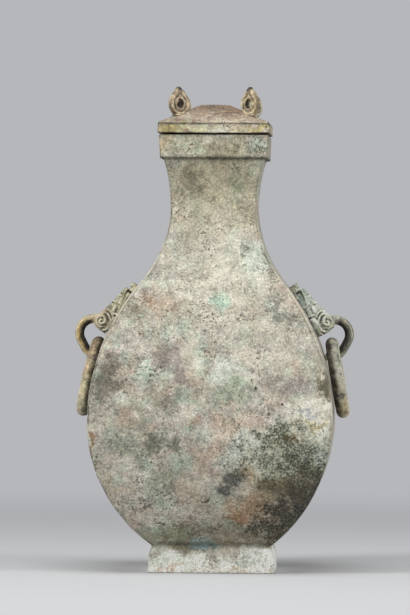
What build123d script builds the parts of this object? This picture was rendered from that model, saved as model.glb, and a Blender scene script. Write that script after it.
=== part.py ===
from build123d import *
import math
import os

# Square-section covered hu of cast bronze, in millimetres, +Z up.
# The origin is under the middle of the foot, and the masks are on the -X and +X faces.
# Every level of the vessel is a square, so one half-profile drives all four faces.

# Vessel: half-widths across the faces, and heights above the ground
foot_half = 54.5
foot_top_half = 51.0
foot_band_height = 12.0  # upright band, below the foot's rounded shoulder
foot_taper = 0.4  # lean of the upright band
foot_shoulder_share = (0.62, 0.58)  # point the shoulder passes, in shares of its width and height
foot_height = 23.0
foot_wall = 4.5
belly_half = 104.0
belly_height = 131.0
neck_half = 37.4
neck_height = 316.0
neck_low_radius = 105.0  # hollow sweep from the neck down to the shoulder
neck_high_radius = 135.0  # flare from the neck up to the collar
collar_base_half = 46.5
collar_half = 47.3
collar_base = 355.5
mouth_height = 376.0
wall = 2.6
floor_drop = 1.0  # underside of the floor, below the top of the foot
floor_thickness = 4.0
arris_bevel = 1.8  # worn edge where two faces meet, measured back on each face
rim_bevel = 0.8  # the same on the foot and the collar

# Lid
lid_half = 48.4
lid_rim_height = 8.6  # upright rim
lid_step_width = 3.4  # rounded step between the rim and the slope
lid_step_height = 3.2
lid_step_share = (0.34, 0.6)  # point the step passes, in shares of its width and height
lid_dome_height = 18.5  # from the rim's top edge to the flat top
lid_top_half = 8.0  # flat top
lid_cap_radius = 18.0  # rounded shoulder beside the flat top
lid_wall = 2.6
tongue_depth = 12.0
tongue_wall = 2.6
tongue_clearance = 0.5
lid_seat_gap = 0.3

# Lid knobs: drop-shaped plates with an eye, standing on the hips of the lid
knob_place = 31.0  # distance from both middle planes
knob_radius = 10.6
knob_tip = 14.8  # from the eye's centre to the tip
knob_tip_radius = 2.6
knob_lift = 8.2  # from the hip to the eye's centre
knob_thickness = 6.0
knob_eye_radius = 4.5
knob_groove_in = 6.5
knob_groove_width = 1.6
knob_groove_depth = 1.1
knob_stem = 9.0
knob_tang = 6.0

# Masks, laid out on the shoulder: t runs up the slope from the mask's middle, n out of the wall
mask_height = 225.5  # height of the mask's middle on the wall
mask_plate = 5.0  # relief of the face
mask_root = 4.0  # how far the blank starts inside the wall, before it is cut to the wall
brow_place = (9.6, -3.5)  # centre of an eye, across and up the slope
eye_radius = 4.6
eye_lid_radius = 6.4
eye_lid_relief = 6.4
eye_sink = 1.0  # centre of the eyeball, below its lid
brow_in = 7.4
brow_out = 10.6
brow_relief = 8.2
ear_place = (15.8, 8.8)  # cupped ear, across and up the slope
ear_length = 15.6
ear_width = 6.4
ear_relief = 7.6
ear_hollow_radius = 3.6
ear_hollow_depth = 1.7
ear_hollow_out = 4.2  # how far the hollow's middle stands out of the wall
cheek_place = (10.5, -14.0)
cheek_radius = 8.6
crest_place = 15.5
crest_radius = 5.6
crest_tip = 8.6
crest_tip_radius = 1.2
face_top = (13.0, 15.0)  # corners of the face, across and up the slope
face_middle = (16.0, -4.0)
face_bottom = (8.4, -25.5)
nose_top_half = 4.0
nose_end = -51.0  # past the chin, where the side outline ends the nose
snout_half = 8.4
snout_start = -10.0  # where the nose widens into the snout
snout_reach = 25.0  # relief of the nose's blank, before it is cut to the side outline
chin_place = -26.2  # side outline of the nose, up the slope and out of the wall
lip_out = 5.9
snout_low = (-23.5, 16.6)
snout_top = (-16.6, 21.1)
bridge_line = [(-12.5, 17.0), (-3.0, 13.4), (8.0, 11.0), (15.0, 10.2)]
plume_line = [(16.8, 9.6), (17.4, 5.8), (18.4, 5.8), (19.0, 8.2), (23.2, 8.0)]  # notch and tip of the crest
brow_back = 24.0
volute_place = (-17.3, 13.0)  # spiral boss on the snout's flank, t and n
volute_radius = 5.4
volute_relief = 1.2
volute_groove_in = 2.4
volute_groove_width = 1.2
ridge_in = 7.4  # C-shaped ridge behind the volute
ridge_width = 1.7
ridge_relief = 0.9
tenon_half_width = 7.0
tenon_half_length = 4.5
tenon_place = -3.0
tenon_in = 10.4  # reach of the tenon's blank, before it is cut to the wall's inside

# Nose hooks and rings
hook_place = (-29.1, 14.3)  # centre of the hook's upper bend, t and n
hook_bend = 12.7  # centre-line radius of the upper bend
hook_half = 4.0
hook_depth_half = 4.2
hook_edge = 1.6
hook_root = (-16.0, 12.0)  # start of the hook inside the snout, t and n
curl_place = (-34.1, 8.8)  # centre of the hook's lower curl, t and n
curl_inner = 8.2
curl_end = 118.0  # where the curl stops, in degrees round from straight out
ring_radius = 29.5
ring_tube = 6.0
ring_clearance = 0.6
ring_rest_gap = 0.3
ring_seat = {"left": 112.0, "right": 50.0}  # where each ring sits in its curl, as for curl_end


# Vessel profile

# The lower belly passes through the top of the foot and is upright at the widest level.
belly_drop = belly_half - foot_top_half
belly_low_radius = ((belly_height - foot_height) ** 2 + belly_drop ** 2) / (2 * belly_drop)

# The upper belly and the hollow under the neck touch each other with a common tangent.
neck_in = belly_half - neck_half
radii_sum = (neck_in ** 2 + (neck_height - belly_height) ** 2) / (2 * neck_in)
belly_high_radius = radii_sum - neck_low_radius
low_center = (belly_half - belly_low_radius, belly_height)
high_center = (belly_half - belly_high_radius, belly_height)
neck_low_center = (neck_half + neck_low_radius, neck_height)
neck_high_center = (neck_half + neck_high_radius, neck_height)
shoulder_angle = math.degrees(
    math.atan2(neck_height - belly_height, neck_low_center[0] - high_center[0])
)


def polar(center, radius, angle):
    """Point at an angle in degrees on a circle."""
    turn = math.radians(angle)
    return (center[0] + radius * math.cos(turn), center[1] + radius * math.sin(turn))


def arc(center, radius, start, end):
    """Arc between two angles in degrees."""
    middle = polar(center, radius, (start + end) / 2)
    return ThreePointArc(polar(center, radius, start), middle, polar(center, radius, end))


def angle_at_height(center, radius, height):
    """Angle on the outer side of a circle at a height."""
    return math.degrees(math.asin((height - center[1]) / radius))


def wall_curve(depth, bottom):
    """Right-hand wall line from a bottom height to the collar, sunk by a depth."""
    low = belly_low_radius - depth
    high = belly_high_radius - depth
    under_neck = neck_low_radius + depth
    over_neck = neck_high_radius + depth
    top_turn = math.degrees(math.asin((collar_base - neck_height) / over_neck))
    return [
        arc(low_center, low, angle_at_height(low_center, low, bottom), 0),
        arc(high_center, high, 0, shoulder_angle),
        arc(neck_low_center, under_neck, 180 + shoulder_angle, 180),
        arc(neck_high_center, over_neck, 180, 180 - top_turn),
    ]


def joined(points):
    """Straight edges through points."""
    return [Line(a, b) for a, b in zip(points, points[1:])]


def flat_prism(right_side):
    """Long block along Y with a mirrored outline, from its right-hand profile, listed upwards."""
    left_side = [mirror(edge, about=Plane.YZ) for edge in right_side]
    bottom = right_side[0] @ 0
    top = right_side[-1] @ 1
    ends = [
        Line((-bottom.X, bottom.Y), (bottom.X, bottom.Y)),
        Line((-top.X, top.Y), (top.X, top.Y)),
    ]
    face = make_face(Plane.XZ * (Curve() + right_side + left_side + ends))
    return extrude(face, amount=2 * belly_half, both=True)


def square_solid(right_side):
    """Solid whose every level is a square, from its right-hand profile."""
    prism = flat_prism(right_side)
    return prism & Rot(0, 0, 90) * prism


def diagonal_line(right_side, setback):
    """Wall line of the diagonal block that cuts the upright edges back by a setback on each face."""
    stretch = math.sqrt(2)
    return [Pos(-setback / stretch, 0) * scale(edge, by=(stretch, 1, 1)) for edge in right_side]


def bevelled(solid, runs):
    """Square solid with its four upright edges cut back, from runs of the profile and their setbacks."""
    line = []
    for right_side, setback in runs:
        moved = diagonal_line(right_side, setback)
        if line:
            line.append(Line(line[-1] @ 1, moved[0] @ 0))
        line += moved
    prism = flat_prism(line)
    return solid & Rot(0, 0, 45) * prism & Rot(0, 0, 135) * prism


foot_band_half = foot_half - foot_taper
foot_side = joined([(foot_half, 0), (foot_band_half, foot_band_height)])
foot_shoulder = ThreePointArc(
    (foot_band_half, foot_band_height),
    (
        foot_top_half + foot_shoulder_share[0] * (foot_band_half - foot_top_half),
        foot_band_height + foot_shoulder_share[1] * (foot_height - foot_band_height),
    ),
    (foot_top_half, foot_height),
)
neck_side = wall_curve(0, foot_height)
neck_top = neck_side[-1] @ 1
collar_side = joined(
    [
        (neck_top.X, collar_base),
        (collar_base_half, collar_base),
        (collar_half, mouth_height),
    ]
)
vessel_side = foot_side + [foot_shoulder] + neck_side + collar_side
vessel_outer = square_solid(vessel_side)

floor_bottom = foot_height - floor_drop
cavity_side = wall_curve(wall, floor_bottom + floor_thickness)
mouth_half = (cavity_side[-1] @ 1).X
cavity_side += joined([(mouth_half, collar_base), (mouth_half, mouth_height)])
vessel_cavity = square_solid(cavity_side)

foot_hollow = square_solid(
    joined([(foot_half - foot_wall, 0), (foot_top_half - foot_wall, floor_bottom)])
)
bevel_runs = [
    (foot_side + [foot_shoulder], rim_bevel),
    (neck_side, arris_bevel),
    (collar_side[1:], rim_bevel),
]
vessel_shell = bevelled(vessel_outer, bevel_runs) - vessel_cavity - foot_hollow


# Places on the shoulder of the +X face

mask_turn = angle_at_height(high_center, belly_high_radius, mask_height)


def on_wall(place):
    """Point in the XZ plane, from the distance up the slope and out of the wall."""
    slope, out = place
    turn = mask_turn + math.degrees(slope / belly_high_radius)
    return polar(high_center, belly_high_radius + out, turn)


mask_middle = on_wall((0, 0))
mask_out = (math.cos(math.radians(mask_turn)), 0, math.sin(math.radians(mask_turn)))
mask_plane = Plane(origin=(mask_middle[0], 0, mask_middle[1]), x_dir=(0, 1, 0), z_dir=mask_out)


def raised(sketch, relief):
    """Block of a face outline, from inside the wall up to its relief."""
    low = mask_plane.offset(-mask_root)
    return extrude(low * sketch, amount=mask_root + relief)


def both_sides(place, outline):
    """Outline set on each side of the face."""
    across, up = place
    return Pos(-across, up) * outline + Pos(across, up) * outline


def side_block(edges, half):
    """Block of a side outline in the XZ plane, as thick as twice a half-width."""
    return extrude(make_face(Plane.XZ * (Curve() + edges)), amount=half, both=True)


def ring_groove(inner, width):
    """Flat ring."""
    return Circle(inner + width) - Circle(inner)


def six_sided(top, middle, bottom):
    """Mirrored outline through three corners on each side."""
    right = [bottom, middle, top]
    left = [(-across, up) for across, up in reversed(right)]
    return Polygon(*right, *left, align=None)


def drop(radius, tip, tip_radius):
    """Drop outline: a circle drawn out to a small circle at its tip by two tangents."""
    tip_place = tip - tip_radius
    touch = math.acos((radius - tip_radius) / tip_place)
    touch_out, touch_up = math.sin(touch), math.cos(touch)
    sides = Polygon(
        (radius * touch_out, radius * touch_up),
        (tip_radius * touch_out, tip_place + tip_radius * touch_up),
        (-tip_radius * touch_out, tip_place + tip_radius * touch_up),
        (-radius * touch_out, radius * touch_up),
        align=None,
    )
    return Circle(radius) + sides + Pos(0, tip_place) * Circle(tip_radius)


# Beast mask

def snout_edges():
    """Side outline of the nose and snout, from the chin over the nose to the brow."""
    chin = on_wall((chin_place, -mask_root))
    lip = on_wall((chin_place, lip_out))
    bridge = [on_wall(place) for place in bridge_line]
    plume = [on_wall(place) for place in plume_line]
    back = on_wall((brow_back, -mask_root))
    return [
        *joined([chin, lip, on_wall(snout_low), on_wall(snout_top)]),
        Spline(on_wall(snout_top), *bridge),
        *joined([bridge[-1], *plume, back, chin]),
    ]


def hook_edges():
    """Side outline of the nose hook: an upper bend, a straight leg and a lower curl."""
    bend = on_wall(hook_place)
    curl = on_wall(curl_place)
    curl_radius = curl_inner + hook_half
    apart = math.dist(bend, curl)
    heading = math.degrees(math.atan2(curl[1] - bend[1], curl[0] - bend[0]))
    tangent = heading + 90 - math.degrees(math.asin((hook_bend - curl_radius) / apart))
    root = on_wall(hook_root)

    def contour(side):
        upper = hook_bend + side * hook_half
        lower = curl_radius + side * hook_half
        return [
            Line((root[0], bend[1] + upper), (bend[0], bend[1] + upper)),
            arc(bend, upper, 90, tangent),
            Line(polar(bend, upper, tangent), polar(curl, lower, tangent)),
            arc(curl, lower, tangent, -curl_end),
        ]

    outer = contour(1)
    inner = contour(-1)
    ends = [
        Line(outer[0] @ 0, inner[0] @ 0),
        Line(outer[-1] @ 1, inner[-1] @ 1),
    ]
    return outer + inner + ends


def make_mask():
    """Mask with its nose hook and its tenon, for the +X face."""
    face = six_sided(face_top, face_middle, face_bottom)
    face += both_sides(cheek_place, Circle(cheek_radius))
    mask = raised(face, mask_plate)

    mask += raised(both_sides(ear_place, SlotOverall(ear_length, ear_width, rotation=90)), ear_relief)
    hollow_across = ear_place[0] + ear_width / 2 + ear_hollow_radius - ear_hollow_depth
    for side in (-1, 1):
        hollow = Pos(side * hollow_across, ear_place[1], ear_hollow_out) * Rot(90, 0, 0)
        mask -= mask_plane * hollow * Cylinder(ear_hollow_radius, ear_length - ear_width)
    brow_span = 2 * (brow_place[0] + brow_out)
    brows = both_sides(brow_place, ring_groove(brow_in, brow_out - brow_in))
    brows &= Pos(0, brow_place[1] + brow_out) * Rectangle(brow_span, 2 * brow_out)
    mask += raised(brows, brow_relief)
    mask += raised(both_sides(brow_place, Circle(eye_lid_radius)), eye_lid_relief)
    for side in (-1, 1):
        eye = mask_plane * Pos(side * brow_place[0], brow_place[1], eye_lid_relief - eye_sink)
        mask += eye * Sphere(eye_radius)

    nose = six_sided((nose_top_half, crest_place), (snout_half, snout_start), (snout_half, nose_end))
    nose += Pos(0, crest_place) * drop(crest_radius, crest_tip, crest_tip_radius)
    mask += side_block(snout_edges(), face_middle[0]) & raised(nose, snout_reach)

    volute = on_wall(volute_place)
    ridge_half = snout_half + ridge_relief
    ridge_out = ridge_in + ridge_width
    ridge_turn = mask_turn + math.degrees(volute_place[0] / belly_high_radius)
    ridge_seat = Plane(
        origin=(volute[0], 0, volute[1]),
        x_dir=(math.cos(math.radians(ridge_turn)), 0, math.sin(math.radians(ridge_turn))),
        z_dir=(0, -1, 0),
    )
    wall_side = Pos(-ridge_out, 0) * Rectangle(2 * ridge_out, 2 * ridge_out)
    ridge = ring_groove(ridge_in, ridge_width) & wall_side
    ridge = extrude(ridge_seat * ridge, amount=ridge_half, both=True)
    mask += ridge & side_block(snout_edges(), ridge_half)
    boss_length = snout_half + volute_relief
    for side in (-1, 1):
        seat = Plane(origin=(volute[0], 0, volute[1]), x_dir=(1, 0, 0), z_dir=(0, side, 0))
        mask += extrude(seat * Circle(volute_radius), amount=boss_length)
        groove = seat.offset(boss_length - volute_relief)
        volute_ring = ring_groove(volute_groove_in, volute_groove_width)
        mask -= extrude(groove * volute_ring, amount=volute_relief)

    hook = side_block(hook_edges(), hook_depth_half)
    hook = chamfer(hook.edges().filter_by(Axis.Y, reverse=True), hook_edge)
    mask += hook
    mask -= vessel_outer
    return mask


tenon_block = extrude(
    mask_plane.offset(-tenon_in)
    * Pos(0, tenon_place)
    * Rectangle(2 * tenon_half_width, 2 * tenon_half_length),
    amount=tenon_in + mask_plate / 2,
)
mask_right = make_mask() + (tenon_block - vessel_cavity)
mask_left = mirror(mask_right, about=Plane.YZ)
vessel_body = vessel_shell - tenon_block - mirror(tenon_block, about=Plane.YZ)


# Rings

def ring_pivot(side):
    """Centre of the ring's tube where it sits in the curl, in the XZ plane of the +X side."""
    play = curl_inner - ring_tube - ring_clearance
    return polar(on_wall(curl_place), play, -ring_seat[side])


def ring_lean(side):
    """Lean from straight down, in degrees, at which the ring rests against the belly."""
    pivot = ring_pivot(side)
    out = pivot[0] - high_center[0]
    up = pivot[1] - high_center[1]
    reach = belly_high_radius + ring_tube + ring_rest_gap
    return math.degrees(math.asin(reach / math.hypot(out, up)) - math.atan2(out, up))


def make_ring(side):
    """Ring at rest on the +X side."""
    pivot = ring_pivot(side)
    lean = math.radians(ring_lean(side))
    center = (pivot[0] + ring_radius * math.sin(lean), pivot[1] - ring_radius * math.cos(lean))
    facing = (math.cos(lean), 0, math.sin(lean))
    plane = Plane(origin=(center[0], 0, center[1]), x_dir=(0, 1, 0), z_dir=facing)
    return plane * Torus(ring_radius, ring_tube)


ring_right = make_ring("right")
ring_left = mirror(make_ring("left"), about=Plane.YZ)


# Lid

lid_base = mouth_height + lid_seat_gap
lid_rim_top = lid_base + lid_rim_height
lid_top = lid_rim_top + lid_dome_height
cap_center = (lid_top_half, lid_top - lid_cap_radius)
step_end = (lid_half - lid_step_width, lid_rim_top + lid_step_height)

# The slope runs from the end of the step and touches the cap's arc.
from_cap = (step_end[0] - cap_center[0], step_end[1] - cap_center[1])
cap_turn = math.degrees(
    math.atan2(from_cap[1], from_cap[0]) + math.acos(lid_cap_radius / math.hypot(*from_cap))
)
lid_slope = math.tan(math.radians(90 - cap_turn))


def slope_height(half, depth):
    """Height of the slope at a half-width, sunk by a depth."""
    bend = polar(cap_center, lid_cap_radius - depth, cap_turn)
    return bend[1] - (half - bend[0]) * lid_slope


def lid_dome(depth, edge_half):
    """Dome line from an edge half-width up to the flat top, sunk by a depth."""
    radius = lid_cap_radius - depth
    return [
        Line((edge_half, slope_height(edge_half, depth)), polar(cap_center, radius, cap_turn)),
        arc(cap_center, radius, cap_turn, 90),
    ]


tongue_half = mouth_half - tongue_clearance
tongue_inner = tongue_half - tongue_wall
tongue_bottom = lid_base - tongue_depth
rim_side = joined(
    [
        (tongue_half, tongue_bottom),
        (tongue_half, lid_base),
        (lid_half, lid_base),
        (lid_half, lid_rim_top),
    ]
)
lid_step = ThreePointArc(
    (lid_half, lid_rim_top),
    (
        lid_half - lid_step_share[0] * lid_step_width,
        lid_rim_top + lid_step_share[1] * lid_step_height,
    ),
    step_end,
)
lid_outer = square_solid(rim_side + [lid_step] + lid_dome(0, step_end[0]))
inner_dome = lid_dome(lid_wall, tongue_inner)
tongue_side = joined([(tongue_inner, tongue_bottom), tuple(inner_dome[0] @ 0)[:2]])
lid_cavity = square_solid(tongue_side + inner_dome)
lid_shell = lid_outer - lid_cavity


# Lid knobs

hip_height = slope_height(knob_place, 0)


def tip_sizes(radius):
    """Tip and tip radius of a smaller drop of the knob's own shape."""
    return (radius * knob_tip / knob_radius, radius * knob_tip_radius / knob_radius)


def make_knob(turn):
    """Knob on the hip at an angle round the lid, with its tang through the lid."""
    radial = (math.cos(math.radians(turn)), math.sin(math.radians(turn)), 0)
    across = (radial[1], -radial[0], 0)
    foot = knob_place * math.sqrt(2)
    eye = Plane(
        origin=(foot * radial[0], foot * radial[1], hip_height + knob_lift),
        x_dir=radial,
        z_dir=across,
    )
    outline = drop(knob_radius, knob_tip, knob_tip_radius)
    outline += Pos(0, -knob_lift) * Rectangle(knob_stem, 2 * knob_tang)
    knob = extrude(eye * outline, amount=knob_thickness / 2, both=True)
    groove_out = knob_groove_in + knob_groove_width
    groove = drop(groove_out, *tip_sizes(groove_out)) - drop(knob_groove_in, *tip_sizes(knob_groove_in))
    for side in (-1, 1):
        face = eye.offset(side * knob_thickness / 2)
        knob -= extrude(face * groove, amount=-side * knob_groove_depth)
    knob -= extrude(eye * Circle(knob_eye_radius), amount=knob_thickness, both=True)
    tang = extrude(
        eye * Pos(0, -knob_lift) * Rectangle(knob_tang, 2 * knob_tang),
        amount=knob_thickness / 2,
        both=True,
    )
    return knob - lid_outer, (tang & lid_outer) - lid_cavity


knob_turns = {
    "knob_front_left": 225,
    "knob_front_right": 315,
    "knob_back_left": 135,
    "knob_back_right": 45,
}
knobs = {}
lid = lid_shell
for name, turn in knob_turns.items():
    upper, tang = make_knob(turn)
    knobs[name] = upper + tang
    lid = lid - tang


# Files

nodes = {
    "vessel_body": vessel_body,
    "mask_left": mask_left,
    "mask_right": mask_right,
    "ring_left": ring_left,
    "ring_right": ring_right,
    "lid": lid,
    **knobs,
}
os.makedirs("parts", exist_ok=True)
for name, solid in nodes.items():
    export_step(solid, f"parts/{name}.step")
    print(name, len(solid.solids()), round(solid.volume, 1))
for side in ("left", "right"):
    print("ring", side, "pivot", ring_pivot(side), "lean", round(ring_lean(side), 2))
print("mouth half", round(mouth_half, 2), "hip height", round(hip_height, 2), "lid top", lid_top)
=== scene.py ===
import bpy
import numpy as np
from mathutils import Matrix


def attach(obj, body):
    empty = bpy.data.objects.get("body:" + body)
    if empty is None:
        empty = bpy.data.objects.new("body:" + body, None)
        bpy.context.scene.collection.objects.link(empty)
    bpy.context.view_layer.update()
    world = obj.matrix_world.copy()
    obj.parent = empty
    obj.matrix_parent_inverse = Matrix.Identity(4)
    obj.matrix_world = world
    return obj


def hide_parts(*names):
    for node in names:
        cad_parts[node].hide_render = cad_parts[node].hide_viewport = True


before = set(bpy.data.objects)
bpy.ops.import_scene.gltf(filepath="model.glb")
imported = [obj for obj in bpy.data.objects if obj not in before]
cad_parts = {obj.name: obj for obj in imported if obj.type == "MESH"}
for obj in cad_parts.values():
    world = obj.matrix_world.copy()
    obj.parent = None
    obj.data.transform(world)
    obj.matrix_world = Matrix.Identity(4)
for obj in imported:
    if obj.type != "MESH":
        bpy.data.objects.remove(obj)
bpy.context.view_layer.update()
print("frame loaded:", sorted(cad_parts))

# Lengths below are millimetres in the part's own frame; meshes are written in metres.
metre = 0.001


def linear(hexCode):
    # sRGB to linear: small values divided by 12.92, the rest raised to the power 2.4
    srgb = np.array([int(hexCode[k:k + 2], 16) for k in (1, 3, 5)]) / 255
    return (*np.where(srgb <= 0.04045, srgb / 12.92, ((srgb + 0.055) / 1.055) ** 2.4), 1.0)


# Noise for the shapes

hashSteps = np.array([73856093, 19349663, 83492791])  # a large prime for each axis of the lattice


def latticeNoise(points, size, seed):
    # hashed numbers at the corners of a lattice, blended with smooth cubics, from 0 to 1
    cell = points / size
    base = np.floor(cell).astype(np.int64)
    part = cell - base
    part = part * part * (3 - 2 * part)
    total = np.zeros(points.shape[:-1])
    for corner in np.ndindex(2, 2, 2):
        key = (base + corner) @ hashSteps + seed * 97531
        for shift, factor in ((13, 1274126177), (15, 668265263)):
            key = (key ^ (key >> shift)) * factor & 0x7fffffff
        weight = np.where(np.array(corner), part, 1 - part).prod(axis=-1)
        total += weight * ((key >> 7) & 0xffff) / 65535
    return total


def fractal(points, size, octaves, seed):
    # octaves of lattice noise, each half the size and half the strength of the last, from 0 to 1
    layers = [latticeNoise(points, size / 2 ** k, seed + k) / 2 ** k for k in range(octaves)]
    return sum(layers) / sum(1 / 2 ** k for k in range(octaves))


def smoothStep(value, low, high):
    # 0 below low, 1 above high, cubic between
    part = np.clip((value - low) / (high - low), 0, 1)
    return part * part * (3 - 2 * part)


def bell(value, middle, width):
    # bump of height 1 about a middle
    return np.exp(-((value - middle) / width) ** 2)


def bells(value, bands):
    # the sum of bumps, each with its middle, its width and its height
    return sum(height * bell(value, middle, width) for middle, width, height in bands)


def rounded(wave, power):
    # a sine or cosine made squarer, with its sign kept
    return np.sign(wave) * np.abs(wave) ** power


# Curves and closed surfaces

def arcPoints(center, radius, start, end, count):
    # points on a circle from one angle to another, in degrees
    turn = np.radians(np.linspace(start, end, count))
    return np.stack([center[0] + radius * np.cos(turn), center[1] + radius * np.sin(turn)], axis=-1)


def linePoints(start, end, count):
    # evenly spaced points on a straight run
    return np.linspace(np.array(start, float), np.array(end, float), count)


def straights(corners, counts):
    # straight runs from each corner to the next
    return [linePoints(*pair) for pair in zip(corners, corners[1:], counts)]


def curvePoints(start, pull, end, count):
    # a bend between two points, drawn towards a third
    share = np.linspace(0, 1, count)[:, None]
    start, pull, end = (np.array(point, float) for point in (start, pull, end))
    return (1 - share) ** 2 * start + 2 * share * (1 - share) * pull + share ** 2 * end


def roundTurns(count):
    # angles once round a circle, without the last, which is the first again
    return np.linspace(0, 2 * np.pi, count, endpoint=False)


def spots(*ways):
    # points from the numbers along each axis
    return np.stack(np.broadcast_arrays(*ways), axis=-1)


def chained(runs):
    # runs end to end, each without the point it shares with the run before
    return np.vstack([runs[0]] + [run[1:] for run in runs[1:]])


def eased(line, passes):
    # each inner point moved to a quarter, a half and a quarter of its neighbours and itself
    for _ in range(passes):
        line = np.vstack([line[:1], (line[:-2] + 2 * line[1:-1] + line[2:]) / 4, line[-1:]])
    return line


def faceSums(shell):
    # at each vertex, the sum of the areas of the faces round it, as vectors that point out of them
    verts, quads = shell["verts"], shell["quads"]
    corners = np.vstack([quads[:, [0, 1, 2]], quads[:, [0, 2, 3]], shell["tris"]])
    a, b, c = (verts[corners[:, k]] for k in range(3))
    area = np.cross(b - a, c - a)
    total = np.zeros_like(verts)
    for k in range(3):
        np.add.at(total, corners[:, k], area)
    return total


def turned(shell):
    # the same surface with the other side out
    for faces in ("quads", "tris"):
        shell[faces] = shell[faces][:, ::-1]
    return shell


def closedShell(grid, poles=None):
    # quads between closed rows; two poles close the ends, and without poles the rows join up too
    rows, cols = grid.shape[:2]
    index = np.arange(rows * cols).reshape(rows, cols)
    ahead = np.roll(index, -1, axis=1)
    quads = [index, ahead, np.roll(ahead, -1, axis=0), np.roll(index, -1, axis=0)]
    quads = np.stack(quads, axis=-1)[:rows if poles is None else rows - 1].reshape(-1, 4)
    verts = grid.reshape(-1, 3)
    tris = np.zeros((0, 3), int)
    if poles is not None:
        verts = np.vstack([verts, poles])
        first = np.stack([np.full(cols, rows * cols), ahead[0], index[0]], axis=-1)
        final = np.stack([np.full(cols, rows * cols + 1), index[-1], ahead[-1]], axis=-1)
        tris = np.vstack([first, final])
    shell = dict(verts=verts, quads=quads, tris=tris, shape=(rows, cols))
    if (faceSums(shell) * verts).sum() < 0:  # the volume is below 0 when the inside is out
        turned(shell)
    return shell


def pushed(shell, amount):
    # vertices moved along their normals
    sums = faceSums(shell)
    normals = sums / np.maximum(np.linalg.norm(sums, axis=1, keepdims=True), 1e-9)
    shell["verts"] = shell["verts"] + normals * amount[:, None]
    return shell


def withPoles(marks):
    # marks of a grid as one list, with the mean of the end rows for the poles
    return np.concatenate([marks.ravel(), [marks[0].mean(), marks[-1].mean()]])


# a gap to the nearest rubbed edge, in mm, that is too wide for any rubbing to show
farFromEdge = 6.0


def marked(shell, dirt, rubbed):
    # dirt and painted shade at each vertex of a grid, and its gap to an edge, which rubbing closes
    # by some mm
    for mark, values in (("dirt", dirt), ("edgeGap", farFromEdge - rubbed)):
        values = np.broadcast_to(values, shell["shape"])
        shell[mark] = withPoles(values) if len(shell["tris"]) else values.ravel()
    return shell


def bulge(marks, reach):
    # how far each mark of a grid stands over the mean of its neighbours at a reach
    near = [np.roll(marks, step, axis=axis) for axis in (0, 1) for step in (-reach, reach)]
    return marks - sum(near) / len(near)


def placed(name, data):
    # a new object of the scene that shows some data
    thing = bpy.data.objects.new(name, data)
    bpy.context.scene.collection.objects.link(thing)
    return thing


def addPiece(name, shells, body, node, material):
    # one mesh from closed surfaces, in metres, in place of a node of the model
    starts = np.cumsum([0] + [len(shell["verts"]) for shell in shells])
    faces = []
    for shell, start in zip(shells, starts):
        faces += (shell["quads"] + start).tolist() + (shell["tris"] + start).tolist()
    mesh = bpy.data.meshes.new(name)
    verts = np.vstack([shell["verts"] for shell in shells])
    mesh.from_pydata((verts * metre).tolist(), [], faces)
    mesh.polygons.foreach_set("use_smooth", np.ones(len(faces), bool))
    for mark in ("edgeGap", "dirt"):
        values = np.concatenate([shell[mark] for shell in shells]).astype(np.float32)
        mesh.attributes.new(mark, "FLOAT", "POINT").data.foreach_set("value", values)
    mesh.materials.append(material)
    mesh.update()
    piece = placed(name, mesh)
    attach(piece, body)
    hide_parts(node)
    print(name, len(faces), "faces")


# Materials

def addNode(tree, kind, inputs=(), **settings):
    # one shader node with its settings and its inputs, as values or links; gives its outputs back
    node = tree.nodes.new("ShaderNode" + kind)
    for key, value in settings.items():
        setattr(node, key, value)
    for key, value in (inputs.items() if isinstance(inputs, dict) else enumerate(inputs)):
        if isinstance(value, bpy.types.NodeSocket):
            tree.links.new(value, node.inputs[key])
        else:
            node.inputs[key].default_value = value
    return node.outputs


def emptyTree(owner):
    # the node tree of a material or a world, with nothing in it
    owner.use_nodes = True
    owner.node_tree.nodes.clear()
    return owner.node_tree


# settings and sockets of nodes that many places use
smooth, ofColours = dict(interpolation_type="SMOOTHSTEP"), dict(data_type="RGBA")
mixCover, mixUnder, mixOver, mixResult = 0, 6, 7, 2


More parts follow.
